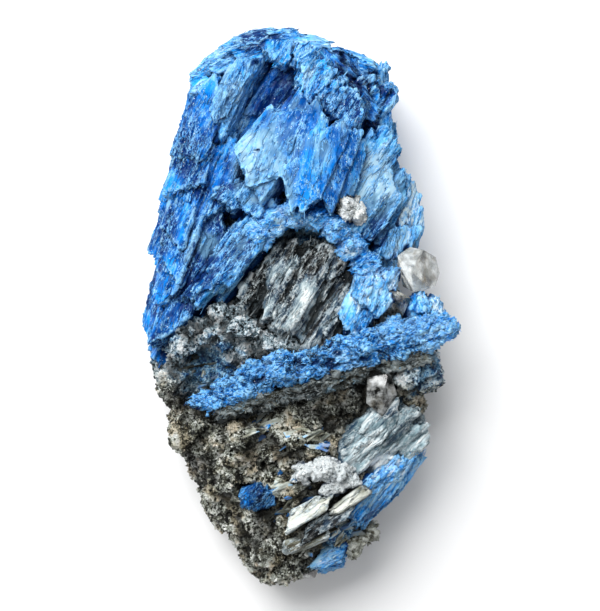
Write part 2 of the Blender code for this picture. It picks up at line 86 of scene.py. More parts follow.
class Field:
    """A value on its way through a node tree, so that sums of fields are written as sums."""

    def __init__(self, net, socket):
        self.net = net
        self.socket = socket

    def __add__(self, other):
        return self.net.maths("ADD", self, other)

    def __radd__(self, other):
        return self.net.maths("ADD", other, self)

    def __sub__(self, other):
        return self.net.maths("SUBTRACT", self, other)

    def __rsub__(self, other):
        return self.net.maths("SUBTRACT", other, self)

    def __mul__(self, other):
        return self.net.maths("MULTIPLY", self, other)

    def __rmul__(self, other):
        return self.net.maths("MULTIPLY", other, self)

    def __truediv__(self, other):
        return self.net.maths("DIVIDE", self, other)

    def __gt__(self, other):
        return self.net.maths("GREATER_THAN", self, other)

    def __lt__(self, other):
        return self.net.maths("LESS_THAN", self, other)

    def __abs__(self):
        return self.net.maths("ABSOLUTE", self)

    def larger(self, other):
        """The larger of two values at each point."""
        return self.net.maths("MAXIMUM", self, other)

    def over(self, low, high):
        """0 below low, 1 above high, and straight between."""
        return self.net.node(
            "ShaderNodeMapRange", {"clamp": True}, {"Value": self, "From Min": low, "From Max": high}
        )


class Net:
    """A shader or geometry node tree that is being filled."""

    def __init__(self, tree):
        self.tree = tree

    def node(self, kind, settings=None, sockets=None, output=0):
        made = self.tree.nodes.new(kind)
        for name, value in (settings or {}).items():
            if name == "stops":
                self.set_stops(made.color_ramp, value)
            else:
                setattr(made, name, value)
        inputs = [socket for socket in made.inputs if socket.enabled]
        for name, value in (sockets or {}).items():
            socket = inputs[name] if isinstance(name, int) else next(s for s in inputs if s.name == name)
            if isinstance(value, Field):
                self.tree.links.new(value.socket, socket)
            else:
                socket.default_value = value
        outputs = [socket for socket in made.outputs if socket.enabled]
        found = outputs[output] if isinstance(output, int) else next(s for s in outputs if s.name == output)
        return Field(self, found)

    @staticmethod
    def set_stops(ramp, stops):
        while len(ramp.elements) < len(stops):
            ramp.elements.new(0.5)
        for element, (place, colour) in zip(ramp.elements, stops):
            element.position = place
            element.color = (*colour, 1)

    def maths(self, operation, *values):
        return self.node("ShaderNodeMath", {"operation": operation}, dict(enumerate(values)))

    def vector(self, operation, *values, output=0):
        return self.node("ShaderNodeVectorMath", {"operation": operation}, dict(enumerate(values)), output)

    def dot(self, one, other):
        return self.vector("DOT_PRODUCT", one, other)

    def scaled(self, vector, value):
        return self.node("ShaderNodeVectorMath", {"operation": "SCALE"}, {"Vector": vector, "Scale": value})

    def blend(self, factor, one, other, mode="MIX"):
        """Colour one turning into the other as factor goes from 0 to 1."""
        settings = {"data_type": "RGBA", "blend_type": mode}
        one, other = (item if isinstance(item, Field) else (*item, 1) for item in (one, other))
        return self.node("ShaderNodeMix", settings, {"Factor": factor, "A": one, "B": other})

    def ramp(self, level, stops):
        """The colour at a level of 0 to 1, from stops that give a screen colour at each place."""
        stops = [(place, linear(*colour)) for place, colour in stops.items()]
        return self.node("ShaderNodeValToRGB", {"stops": stops}, {0: level})

    def position(self):
        return self.node("GeometryNodeInputPosition")

    def normal(self):
        return self.node("GeometryNodeInputNormal")

    def object_place(self):
        return self.node("ShaderNodeTexCoord", {}, {}, "Object")

    def in_cells(self, place, size):
        """Coordinates in which that size in mm is one."""
        return self.scaled(place, 1 / (size * MM))

    def noise(self, place, detail=3.0, roughness=0.55, kind="FBM", output="Fac"):
        settings = {"noise_type": kind}
        sockets = {"Vector": place, "Scale": 1.0, "Detail": detail, "Roughness": roughness}
        return self.node("ShaderNodeTexNoise", settings, sockets, output)

    def cells(self, place, output="Color", feature="F1"):
        sockets = {"Vector": place, "Scale": 1.0}
        return self.node("ShaderNodeTexVoronoi", {"feature": feature}, sockets, output)

    def join(self, *parts):
        return self.node("ShaderNodeCombineXYZ", {}, dict(enumerate(parts)))

    def stretched(self, place, grain, cell, shift=0.0):
        """Coordinates in which a cell of this size in mm, across, along and out of the grain, is one."""
        parts = grain.fields(self, place)
        sizes = (cell[0], cell[0] + (cell[1] - cell[0]) * grain.share, cell[2])
        return self.join(*[part / (size * MM) + shift for part, size in zip(parts, sizes)])

    def streaks(self, place, grain, cell, seed, detail=3.0, roughness=0.55):
        """A soft noise with spots of that cell's size, drawn out along the grain."""
        return self.noise(self.stretched(place, grain, cell, seed), detail, roughness)

    def sheets(self, place, grain, cell, count, seed, torn):
        """Sheets that lie over each other: the height in sheets, the top one's tone and what is left of it.

        What is left goes from 0 at a sheet's own edge to 1 at the next one's foot. Torn is how ragged
        they are.
        """
        level = self.streaks(place, grain, cell, seed, torn, 0.62) * count
        sheet = self.maths("FLOOR", level)
        left = level - sheet
        return sheet + left.over(0.0, 0.12), self.maths("FRACT", sheet * 0.618 + seed * 0.37), left

    def facets(self, spot):
        """Cells each cut to a slanting plane of its own: the height, about -1 to 1, and the cell's tone."""
        colour = self.cells(spot)
        slope = self.vector("SUBTRACT", self.scaled(colour, 2.0), (1.0,) * 3)
        offset = self.vector("SUBTRACT", spot, self.cells(spot, "Position"))
        return self.dot(slope, offset) + self.dot(slope, (0.4, 0, 0)), self.dot(colour, (0, 1, 0))

    def wavy(self, place, size, amount):
        """The place moved about by a soft noise of that size and amount in mm."""
        swirl = self.noise(self.in_cells(place, size), 2.0, 0.5, output="Color")
        offset = self.scaled(self.vector("SUBTRACT", swirl, (0.5,) * 3), amount * MM)
        return self.vector("ADD", place, offset)


AXES = ((1, 0, 0), (0, 1, 0), (0, 0, 1))
# The radius in metres at which a turn is measured as a length.
TURN = 0.03


class Grain:
    """The way the blades of a spray run: all one way, out from a centre, or in a ring round it.

    Lean turns clockwise from +Y and rise lifts the far end, both in degrees. The centre is in mm. Stray is
    how far the blades wander, in mm, and share how long their marks are beside the usual.
    """

    def __init__(self, lean, rise=0.0, centre=None, ring=False, stray=0.7, share=1.0):
        turn = Euler((math.radians(rise), 0, math.radians(-lean)), "XYZ").to_matrix()
        self.across, self.along, self.out = (turn @ Vector(axis) for axis in AXES)
        self.centre = centre
        self.ring = ring
        self.stray = stray
        self.share = share

    def from_centre(self, net, place):
        return net.vector("SUBTRACT", place, (self.centre[0] * MM, self.centre[1] * MM, 0))

    def fields(self, net, place):
        """How far a place is across, along and out of the grain."""
        if self.centre is None:
            return [net.dot(place, tuple(axis)) for axis in (self.across, self.along, self.out)]
        offset = self.from_centre(net, place)
        x, y, z = (net.dot(offset, axis) for axis in AXES)
        radius = net.maths("SQRT", x * x + y * y)
        arc = net.maths("ARCTAN2", x, abs(y) if self.ring else 0 - y) * TURN
        return [radius, arc, z] if self.ring else [arc, radius, z]

    def direction(self, net, place):
        """The way the blades run at a place."""
        if self.centre is None:
            return tuple(self.along)
        offset = net.vector("MULTIPLY", self.from_centre(net, place), (1, 1, 0))
        if self.ring:
            offset = net.vector("CROSS_PRODUCT", offset, (0, 0, 1))
        return net.vector("NORMALIZE", offset)


# ---------------------------------------------------------------- meshes


def deselect():
    for obj in bpy.context.selected_objects:
        obj.select_set(False)


def make_active(obj):
    deselect()
    obj.select_set(True)
    bpy.context.view_layer.objects.active = obj


def apply_modifier(obj, kind, **settings):
    make_active(obj)
    modifier = obj.modifiers.new(kind, kind)
    for name, value in settings.items():
        setattr(modifier, name, value)
    bpy.ops.object.modifier_apply(modifier=modifier.name)


def geometry_net():
    """A new geometry tree, and the shape that comes into it."""
    tree = bpy.data.node_groups.new("dressing", "GeometryNodeTree")
    tree.interface.new_socket("Geometry", in_out="INPUT", socket_type="NodeSocketGeometry")
    tree.interface.new_socket("Geometry", in_out="OUTPUT", socket_type="NodeSocketGeometry")
    net = Net(tree)
    return net, net.node("NodeGroupInput")


def apply_geometry(obj, net, result):
    end = net.tree.nodes.new("NodeGroupOutput")
    net.tree.links.new(result.socket, end.inputs[0])
    apply_modifier(obj, "NODES", node_group=net.tree)
    bpy.data.node_groups.remove(net.tree)


def copy_of_node(node, name):
    """A merged copy of a CAD node's mesh to work on."""
    obj = bpy.data.objects.new(name, frame["nodes"][node].data.copy())
    bpy.context.scene.collection.objects.link(obj)
    obj.data.name = name
    make_active(obj)
    bpy.ops.object.mode_set(mode="EDIT")
    bpy.ops.mesh.select_all(action="SELECT")
    bpy.ops.mesh.remove_doubles(threshold=0.00001)
    bpy.ops.object.mode_set(mode="OBJECT")
    return obj


def pick_faces(obj, direction):
    """Selects the faces of a mesh in edit mode that look that way."""
    bpy.ops.mesh.select_all(action="DESELECT")
    bpy.ops.object.mode_set(mode="OBJECT")
    for polygon in obj.data.polygons:
        polygon.select = polygon.normal.dot(Vector(direction)) > 0.9
    bpy.ops.object.mode_set(mode="EDIT")


def stock_block(name, rng, skew, share):
    """A block one millimetre each way, each end slanted and narrowed."""
    deselect()
    bpy.ops.mesh.primitive_cube_add(size=MM)
    obj = bpy.context.object
    obj.name = obj.data.name = name
    bpy.ops.object.mode_set(mode="EDIT")
    bpy.ops.mesh.select_mode(type="FACE")
    for end in (1, -1):
        pick_faces(obj, (0, end, 0))
        middle = (0, end * 0.5 * MM, 0)
        turn = rng.uniform(-skew, skew)
        bpy.ops.transform.rotate(value=turn, orient_axis="Z", center_override=middle)
        narrow, thin = (rng.uniform(*share) for _ in range(2))
        bpy.ops.transform.resize(value=(narrow, 1, thin), center_override=middle)
    bpy.ops.object.mode_set(mode="OBJECT")
    return obj


def stock_splinter(index, rng):
    """A blade splinter that narrows to slanted tips."""
    return stock_block(f"splinter_{index}", rng, 0.9, (0.2, 0.7))


def stock_grain(index, rng):
    """A blocky grain with uneven sides."""
    obj = stock_block(f"grain_{index}", rng, 0.5, (0.45, 0.9))
    for vertex in obj.data.vertices:
        vertex.co *= rng.uniform(0.75, 1.15)
    return obj


def stock_flake(index, rng):
    """A mica plate a tenth as thick as it is wide."""
    obj = stock_block(f"flake_{index}", rng, 0.6, (0.5, 1.0))
    for vertex in obj.data.vertices:
        vertex.co.z *= 0.1
    return obj


STOCK = {}


def set_aside(obj, group):
    """Takes an object out of the scene's view and keeps it in a collection of its own."""
    for old in list(obj.users_collection):
        old.objects.unlink(obj)
    group.objects.link(obj)


def make_stock():
    """Splinters, grains and flakes, each modelled once, and one mesh of all the solids for the shelter."""
    makers = {"splinter": stock_splinter, "grain": stock_grain, "flake": stock_flake}
    for kind, maker in makers.items():
        rng = random.Random(kind)
        STOCK[kind] = bpy.data.collections.new(kind)
        for index in range(5):
            set_aside(maker(index, rng), STOCK[kind])
    copies = [copy_of_node(node, node + "_copy") for node in frame["nodes"]]
    make_active(copies[0])
    for copy in copies:
        copy.select_set(True)
    bpy.ops.object.join()
    STOCK["solids"] = bpy.data.collections.new("solids")
    set_aside(bpy.context.object, STOCK["solids"])


def clear_stock():
    for group in STOCK.values():
        for obj in list(group.objects):
            bpy.data.objects.remove(obj)
        bpy.data.collections.remove(group)
    STOCK.clear()


def stock(net, kind, apart=True):
    return net.node("GeometryNodeCollectionInfo", {}, {0: STOCK[kind], 1: apart, 2: True})


def random_number(net, seed):
    return net.node("FunctionNodeRandomValue", {"data_type": "FLOAT"}, {"Seed": seed})


def random_vector(net, low, high, seed):
    settings = {"data_type": "FLOAT_VECTOR"}
    return net.node("FunctionNodeRandomValue", settings, {"Min": low, "Max": high, "Seed": seed})


def scatter(
    net, shape, kind, per_mm2, small, large, seed, grain=None, tilt=0.15, lift=0.0, lie=0.3, where=None
):
    """Copies of a stock shape over another shape, sized in mm between small and large.

    With a grain they lie along it, give or take the tilt; without one they lie any way round. Where is a
    field that is above 0 where they may be. Each copy has a tone of its own.
    """
    spots = net.tree.nodes.new("GeometryNodeDistributePointsOnFaces")
    net.tree.links.new(shape.socket, spots.inputs["Mesh"])
    spots.inputs["Density"].default_value = per_mm2 * 1e6
    spots.inputs["Seed"].default_value = seed
    points = Field(net, spots.outputs["Points"])
    normal = Field(net, spots.outputs["Normal"])
    place = net.position()
    if where is not None:
        points = net.node("GeometryNodeSeparateGeometry", {"domain": "POINT"}, {0: points, 1: where})
    facing = net.vector("ADD", normal, random_vector(net, (-lie,) * 3, (lie,) * 3, seed + 2))
    if grain:
        along = net.vector(
            "ADD", grain.direction(net, place), random_vector(net, (-tilt,) * 3, (tilt,) * 3, seed + 1)
        )
        first, second, axes = along, facing, ("Y", "Z")
    else:
        along = random_vector(net, (-1,) * 3, (1,) * 3, seed + 1)
        first, second, axes = facing, along, ("Z", "Y")
    settings = {"primary_axis": axes[0], "secondary_axis": axes[1]}
    turn = net.node("FunctionNodeAxesToRotation", settings, {0: first, 1: second})
    points = net.node("GeometryNodeSetPosition", {}, {0: points, "Offset": net.scaled(normal, lift * MM)})
    points = store(net, points, "tone", random_number(net, seed + 4))
    scale = random_vector(net, small, large, seed + 3)
    sockets = {0: points, "Instance": stock(net, kind), "Pick Instance": True}
    sockets.update({"Rotation": turn, "Scale": scale})
    placed = net.node("GeometryNodeInstanceOnPoints", {}, sockets)
    return net.node("GeometryNodeRealizeInstances", {}, {0: placed})


def joined(net, *shapes):
    node = net.tree.nodes.new("GeometryNodeJoinGeometry")
    for shape in shapes:
        net.tree.links.new(shape.socket, node.inputs[0])
    return Field(net, node.outputs[0])


def store(net, shape, name, value):
    settings = {"data_type": "FLOAT", "domain": "POINT"}
    return net.node("GeometryNodeStoreNamedAttribute", settings, {0: shape, "Name": name, "Value": value})


def standing_out(net, rounds):
    """How far in metres each point stands out of the surface smoothed that many times."""
    place = net.position()
    sockets = {"Value": place, "Iterations": rounds}
    blurred = net.node("GeometryNodeBlurAttribute", {"data_type": "FLOAT_VECTOR"}, sockets)
    return net.dot(net.vector("SUBTRACT", place, blurred), net.normal())


def with_relief(net, shape, crest=0.055, hollow=0.35, spread=14):
    """Stores how far each point faces up, and is on a crest, a brow or in a hollow, 1 at so many mm."""
    # The materials paint highlight on crests and brows, and shade in hollows, from these measures.
    shape = store(net, shape, "upward", net.dot(net.normal(), (0, 0, 1)))
    shape = store(net, shape, "crest", (standing_out(net, 3) / (crest * MM)).over(0.0, 1.0))
    shape = store(net, shape, "brow", (standing_out(net, spread) / (hollow * MM)).over(0.2, 1.0))
    return store(net, shape, "hollow", (standing_out(net, spread) / (-hollow * MM)).over(0.0, 1.0))


def with_shelter(net, shape, reach=6.0, rays=8):
    """Stores how far the solids within so many mm shut each point in, 0 in the open to 1 in a gap."""
    # The materials paint shade from this measure; the scatters keep to the open by it.
    solids = net.node("GeometryNodeRealizeInstances", {}, {0: stock(net, "solids", False)})
    place = net.position()
    normal = net.normal()
    start = net.vector("ADD", place, net.scaled(normal, 0.45 * MM))
    total = 0.0
    for ray in range(rays):
        aside = net.vector("NORMALIZE", random_vector(net, (-1,) * 3, (1,) * 3, 500 + ray))
        way = net.vector("ADD", normal, net.scaled(aside, 0.9))
        sockets = {"Target Geometry": solids, "Source Position": start, "Ray Direction": way}
        sockets["Ray Length"] = reach * MM
        gap = net.node("GeometryNodeRaycast", {}, sockets, "Hit Distance") / (reach * MM)
        total = total + (1 - gap)
    sockets = {"Value": total * (1.6 / rays), "Iterations": 6}
    shade = net.node("GeometryNodeBlurAttribute", {"data_type": "FLOAT"}, sockets)
    return store(net, shape, "shelter", shade)


# The fewest faces of a bit that is kept.
CRUMB_FACES = 900


def without_crumbs(net, shape):
    """The shape without its crumbs, the loose bits that have few faces."""
    island = net.node("GeometryNodeInputMeshIsland", {}, {}, "Island Index")
    settings = {"data_type": "INT", "domain": "FACE"}
    total = net.node("GeometryNodeAccumulateField", settings, {"Value": 1, "Group ID": island}, "Total")
    return net.node("GeometryNodeDeleteGeometry", {"domain": "FACE"}, {0: shape, 1: total < CRUMB_FACES})


def pushed_out(net, shape, height):
    """The shape with its points moved out along their normals by height in mm, but not under the floor."""
    offset = net.scaled(net.normal(), height * MM)
    place = net.vector("ADD", net.position(), offset)
    place = net.vector("MAXIMUM", place, (-1, -1, 0))
    return net.node("GeometryNodeSetPosition", {}, {0: shape, "Position": place})


def frayed_share(net, place, grain, fray, seed):
    """1 on the stretches that are frayed and 0 on the flats between; more fray gives more of them."""
    patch = net.streaks(place, grain, (2.6, 7.0, 2.6), seed, 3.0, 0.6)
    limit = 0.7 - 0.4 * fray
    return patch.over(limit, limit + 0.08)


# A cell of the sheets in mm, across, along and out of the grain, and how many sheets lie over each other.
SHEET = (2.4, 13.0, 2.4)
SHEETS = 8
# How strongly each mineral bends light.
KYANITE_IOR = 1.6
SCHIST_IOR = 1.56
GRAIN_IOR = 1.57
QUARTZ_IOR = 1.544


def splintery(net, shape, grain, fray, step, ragged, seed, bulge=0.05):
    """Breaks a surface into laths: flat sheets with low steps, frayed stretches and ragged ends.

    Fray, up to 1, says how much of the surface is frayed, and step and ragged are heights in mm.
    """
    place = net.wavy(net.position(), 7.0, grain.stray)
    normal = net.normal()
    shown = net.dot(normal, (0, 0, 1)).over(-0.45, -0.1)
    end = abs(net.dot(normal, grain.direction(net, place))).over(0.25, 0.85)
    laths = (((2.4, 16.0, 1.6), (1, 0, 0)), ((0.9, 5.0, 0.7), (1, 0, 0)), ((0.7, 60.0, 0.6), (0, 1, 0)))
    broad, narrow, teeth = (
        net.dot(net.cells(net.stretched(place, grain, cell, seed)), channel) for cell, channel in laths
    )
    high = net.sheets(place, grain, SHEET, SHEETS, seed, 3.0)[0]
    swell = net.noise(net.in_cells(place, 5.5), 2.0) - 0.5
    chips, chip = net.facets(net.stretched(place, grain, (0.7, 1.7, 0.7), seed + 9))
    frayed = frayed_share(net, place, grain, fray, seed)
    shape = store(net, shape, "tone", broad * 0.6 + narrow * 0.4)
    shape = store(net, shape, "frayed", frayed.larger(end * 0.8))
    height = (high - SHEETS / 2) * step + (broad - 0.5) * step * 2.4 + swell * step * 4.5
    height = height + frayed * ((narrow - 0.5) * step * 1.5 + chips * step * 0.8)
    height = height + end * (teeth - 0.5) * ragged
    return pushed_out(net, shape, (height + bulge) * shown)


def granular(net, shape, grain, height, seed, bulge=0.1):
    """Breaks a surface into blocky grains of about that size in mm, each with its own slant."""
    place = net.position()
    spot = net.vector("ADD", net.in_cells(place, grain), (seed,) * 3)
    big = net.facets(net.scaled(spot, 0.35))[0]
    small, tone = net.facets(spot)
    shape = store(net, shape, "tone", tone)
    return pushed_out(net, shape, (big * 1.3 + small * 0.7) * height + bulge)


def body_of(node, voxel, *covers):
    """A copy of a solid with coverings grown onto it, all under one closed skin of that mesh size in mm."""
    obj = copy_of_node(node, node + "_body")
    net, shape = geometry_net()
    apply_geometry(obj, net, joined(net, shape, *[cover(net, shape) for cover in covers]))
    apply_modifier(obj, "REMESH", mode="VOXEL", voxel_size=voxel * MM)
    return obj


def reshape(obj, change):
    """Sends an object's mesh through a change, which is a function of a net and a shape."""
    net, shape = geometry_net()
    apply_geometry(obj, net, change(net, shape))


def bits_on(obj, name, change):
    """A new object of the small pieces that a change scatters over another object."""
    bits = bpy.data.objects.new(name, obj.data.copy())
    bits.data.name = name
    bpy.context.scene.collection.objects.link(bits)
    reshape(bits, change)
    return bits


def finish_piece(obj, material, slot, *nodes, smooth=True):
    """The last steps of every piece: its finish, riding on the specimen, and standing for its solids."""
    obj.data.materials.clear()
    obj.data.materials.append(material)
    obj.data.polygons.foreach_set("use_smooth", [smooth] * len(obj.data.polygons))
    obj.data.update()
    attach(obj, "root")
    if nodes:
        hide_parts(*nodes)
    deselect()


def slot_of(node):
    """The record's material slot of a CAD node."""
    for part in frame["record"]["subparts"]:
        if part["node"] == node:
            return part["material_slot"]
    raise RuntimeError(f"the record has no slot for {node}")


def named(net, name):
    return net.node("GeometryNodeInputNamedAttribute", {"data_type": "FLOAT"}, {"Name": name})


def open_places(net, limit=0.85, level=0.1):
    """1 where a surface isn't shut in by other solids and faces up more than that."""
    return (named(net, "shelter") < limit) * (named(net, "upward") > level)


# ---------------------------------------------------------------- materials


def new_material(name):
    """A new material, and its node tree with nothing in it."""
    material = bpy.data.materials.new(name)
    material.use_nodes = True
    material.node_tree.nodes.clear()
    return material, Net(material.node_tree)


def ended(material, shader):
    """The material, with that shader as its surface."""
    tree = material.node_tree
    end = tree.nodes.new("ShaderNodeOutputMaterial")
    tree.links.new(shader.socket, end.inputs["Surface"])
    return material


def attribute(net, name):
    return net.node("ShaderNodeAttribute", {"attribute_name": name}, {}, "Fac")


def principled(net, sockets):
    return net.node("ShaderNodeBsdfPrincipled", {}, sockets)


def bumped(net, height, reach, strength=1.0):
    """A normal from a height of 0 to 1 that stands for reach in mm."""
    return net.node("ShaderNodeBump", {}, {"Strength": strength, "Distance": reach * MM, "Height": height})


def spots_on(net, place, node, spots):
    """1 in the middle of the soft spots that lie on a node and 0 outside them, or None if none does."""
    low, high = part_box(node)
    found = None
    for x, y, size in spots:
        across = low[0] - size * MM < x * MM < high[0] + size * MM
        if across and low[1] - size * MM < y * MM < high[1] + size * MM:
            offset = net.vector("MULTIPLY", net.vector("SUBTRACT", place, (x * MM, y * MM, 0)), (1, 0.7, 0))
            spot = 1 - net.vector("LENGTH", offset, output="Value").over(size * 0.5 * MM, size * 1.1 * MM)
            found = found.larger(spot) if found else spot
    return found


def kyanite_flats(net, place, node, grain, tones, seed, level, settings, grey):
    """The colour inside the blades, with patches and greyer clouds, and 1 where they are deep and clear."""
    patch = net.streaks(place, grain, (4.5, 10.0, 4.5), seed, 4.0, 0.6)
    level = (patch - 0.5) * 3.4 + 0.5 + level
    ragged = (patch - 0.5) * 1.5
    deep, pale, dull = (spots_on(net, place, node, spots) for spots in (DEEP_SPOTS, PALE_SPOTS, DULL_SPOTS))
    deep = (deep + ragged * deep).over(0.15, 0.5) if deep else 0.0
    clear = (1 - patch.over(0.36, 0.46)).larger(deep)
    level = level - deep * 0.4
    if pale:
        level = level + (pale + ragged * pale).over(0.2, 0.8) * 0.35
    colour = net.ramp(level.over(0.0, 1.0), TONES[tones])
    cloud = net.streaks(place, grain, (3.0, 7.0, 3.0), seed + 3, 3.0).over(0.47, 0.64) * grey
    if dull:
        cloud = cloud.larger((dull + ragged * dull).over(0.2, 0.7) * 0.8)
    if dull or grey:
        tint = net.blend(level.over(0.3, 1.0), settings.grey_kyanite, linear(*GREY_PALE))
        colour = net.blend(cloud, colour, tint)
    return colour, clear


# Finishes of grey blades, whose broken places are off-white.
GREY_FINISHES = ("grey", "dark", "laminated", "lath", "small_blades")


def frost_colours(tones, settings):
    """The colours of veiled and of broken places, which also serve as painted highlight on rims, crests and
    brows: blue on blue blades, and off-white on grey ones.
    """
    if tones in GREY_FINISHES:
        return linear(140, 164, 176), linear(236, 242, 240)
    return settings.pale_kyanite, settings.frost


def kyanite_material(name, node, grain, tones, frost, seed, settings, grey, dark):
    """Bladed kyanite: sheets with pale rims and fine lines, frosted frayed stretches, and painted shade in
    deep hollows, shut-in gaps and at the sheets' feet. The pale rims, crests and brows are partly frost and
    partly painted highlight, and small white specks are painted glints.
    """
    material, net = new_material(name)
    veiled, frosted = frost_colours(tones, settings)
    place = net.wavy(net.object_place(), 7.0, grain.stray)
    names = ("tone", "crest", "brow", "hollow", "frayed", "shelter")
    tone, crest, brow, hollow, frayed, shelter = (attribute(net, key) for key in names)
    high, sheet, left = net.sheets(place, grain, SHEET, SHEETS, seed, 3.0)
    thin_high, thin_sheet, thin_left = net.sheets(place, grain, (1.3, 3.6, 1.3), 6, seed + 5, 5.0)
    lines = net.streaks(place, grain, (0.24, 7.0, 0.24), seed, 4.0, 0.65)
    fibres = net.streaks(place, grain, (0.4, 2.4, 0.4), seed, 4.0, 0.75)
    glint_cells = net.cells(net.in_cells(place, 0.7), "Distance")
    threads = net.streaks(place, grain, (1.2, 2.6, 1.2), seed + 2, 5.0, 0.72)
    mist = net.streaks(place, grain, (1.8, 3.4, 1.8), seed + 7, 5.0, 0.7)
    thread = (1 - (abs(threads - 0.5) * 18).over(0.1, 1.0)) * mist.over(0.4, 0.56)
    loose = 0.12 + frayed * 0.88
    level = (sheet - 0.5) * 0.45 + (tone - 0.5) * 0.25 + (thin_sheet - 0.5) * loose * 0.7
    level = level + (lines - 0.5) * (0.35 + loose * 0.5)
    colour, clear = kyanite_flats(net, place, node, grain, tones, seed, level, settings, grey)
    # The blades' own pale veils, made paler on brows as painted highlight.
    veil = frayed * 0.35 + brow * 0.5 + (mist - 0.5) * 2.4 + (fibres - 0.5) * 0.8 * loose - clear * 0.35
    colour = net.blend(veil.over(0.0, 1.0) * frost, colour, veiled)
    # Painted shade: dark lines at the foot of each sheet and in the gaps between fibres.
    foot = left.over(0.84, 1.0) * 0.8 + thin_left.over(0.6, 1.0) * loose
    foot = foot + (1 - fibres.over(0.34, 0.44)) * loose * 0.8 + (1 - lines.over(0.34, 0.42)) * loose * 0.6
    colour = net.blend(foot.over(0.15, 0.85) * 0.9, colour, dark)
    # Pale rims on sheet edges, threads, crests and brows: partly frost, partly painted highlight.
    rim = (1 - left.over(0.02, 0.16)) * 0.9 + (1 - thin_left.over(0.04, 0.3)) * loose * 1.1 + thread * 0.9
    rim = rim + (fibres - 0.5) * 2.4 * loose + crest * 0.4 * loose + brow * 0.3
    rim = (rim + (mist - 0.5) - clear * 0.15).over(0.32, 0.78)
    pale = net.blend(fibres.over(0.44, 0.64), veiled, frosted)
    colour = net.blend(rim * frost, colour, pale)
    # Painted shade in hollows and in gaps shut in by other solids.
    deep = (hollow.over(0.3, 0.9) * 0.85).larger(shelter.over(0.35, 0.85) * 0.92)
    colour = net.blend(deep, colour, dark)
    # Frost on crests, brows and threads, kept out of the gaps: partly frost, partly painted highlight.
    edge = (crest * 0.35 + brow * 0.75 + (threads - 0.5) * 2.4 + (fibres - 0.5) * 1.6).over(0.72, 1.25)
    edge = (edge * (1 - hollow)).larger(thread * 0.45) * (1 - shelter.over(0.4, 0.8))
    colour = net.blend(edge * frost * 0.7, colour, frosted)
    # Painted glints: small white specks on the fibres.
    painted_glint = (1 - glint_cells.over(0.1, 0.14)) * fibres.over(0.52, 0.56)
    colour = net.blend(painted_glint * 0.9, colour, (0.95, 0.98, 1.0))
    height = high * 0.2 + thin_high * 0.1 * loose + lines * 0.07 + fibres * loose * 0.2
    sockets = {
        "Base Color": colour,
        "Roughness": 0.26 + loose * 0.2 + rim * 0.12 + (lines - 0.5) * 0.1,
        "IOR": KYANITE_IOR,
        "Specular IOR Level": 0.06,
        "Normal": bumped(net, height, 1.0),
    }
    return ended(material, principled(net, sockets))


def splinter_material(name, node, grain, tones, frost, seed, settings, grey, dark):
    """Loose and torn splinters: the blades' own colour, from clear to frosted, splinter by splinter, with
    painted shade where they are shut in.
    """
    material, net = new_material(name)
    veiled, frosted = frost_colours(tones, settings)
    place = net.wavy(net.object_place(), 7.0, grain.stray)
    tone, shelter = attribute(net, "tone"), attribute(net, "shelter")
    lines = net.streaks(place, grain, (0.26, 3.0, 0.26), seed, 4.0, 0.65)
    level = (tone - 0.5) * 0.7 + (lines - 0.5) * 0.6
    colour = kyanite_flats(net, place, node, grain, tones, seed, level, settings, grey)[0]
    colour = net.blend((tone + (lines - 0.5) * 0.8).over(0.4, 0.9) * frost, colour, veiled)
    colour = net.blend((tone + (lines - 0.5) * 1.2).over(0.7, 1.1) * frost, colour, frosted)
    # Painted shade where the splinters are shut in by other solids.
    colour = net.blend(shelter.over(0.3, 0.9) * 0.9, colour, dark)
    sockets = {
        "Base Color": colour,
        "Roughness": 0.24 + lines * 0.3,
        "IOR": KYANITE_IOR,
        "Specular IOR Level": 0.15,
    }
    return ended(material, principled(net, sockets))


def speckle(net, spot, bits):
    """What crumbly surfaces share: the level of each grain, 0 to 1, its dust, its patch and its bump."""
    tone = attribute(net, "tone")
    large, large_tone = net.facets(net.scaled(spot, 0.45))
    small, small_tone = net.facets(spot)
    dust = net.noise(net.scaled(spot, 1.9), 4.0, 0.75)
    patch = net.noise(net.scaled(spot, 0.11), 3.0)
    mix = tone * 0.8 + 0.1 if bits else tone * 0.25 + large_tone * 0.25 + small_tone * 0.5
    level = (mix + (patch - 0.5) * 0.9 + (dust - 0.5) * 1.6).over(0.0, 1.0)
    bump = small * 0.14 + dust * 0.3 if bits else large * 0.3 + small * 0.16 + dust * 0.35
    return level, dust, patch, bump


def grain_material(name, tones, edge_colour, dark, size, rough, seed, bits=False):
    """Crumbly grains: each its own tone, dusty, with pale corners that are partly painted highlight, and
    near-black painted shade in hollows and shut-in gaps.
    """
    material, net = new_material(name)
    place = net.object_place()
    spot = net.vector("ADD", net.in_cells(place, size), (seed,) * 3)
    level, dust, patch, bump = speckle(net, spot, bits)
    colour = net.ramp(level, TONES[tones])
    if not bits:
        # Pale corners on crests: partly the dust's pale specks, partly painted highlight.
        edge = (attribute(net, "crest") * 0.9 + (dust - 0.5) * 1.5).over(0.45, 1.0)
        colour = net.blend(edge * 0.6, colour, edge_colour)
        # Painted shade in the hollows.
        colour = net.blend(attribute(net, "hollow").over(0.3, 1.0) * 0.8, colour, dark)
    # Painted shade in gaps shut in by other solids.
    colour = net.blend(attribute(net, "shelter").over(0.4, 1.0) * 0.85, colour, dark)
    sockets = {
        "Base Color": colour,
        "Roughness": rough + (1 - level) * 0.2 + dust * 0.15,
        "IOR": GRAIN_IOR,
        "Specular IOR Level": 0.3,
        "Normal": bumped(net, bump, 1.0),
    }
    return ended(material, principled(net, sockets))


def ragged_spots(net, place, spots, wobble):
    """1 inside the spots and 0 outside, with edges that go in and out by the wobble in mm."""
    flat = net.vector("MULTIPLY", place, (1, 1, 0))
    found = 0.0
    for x, y, size in spots:
        gap = net.vector("DISTANCE", flat, (x * MM, y * MM, 0), output="Value")
        found = (1 - (gap / MM + wobble).over(size * 0.6, size)).larger(found)
    return found


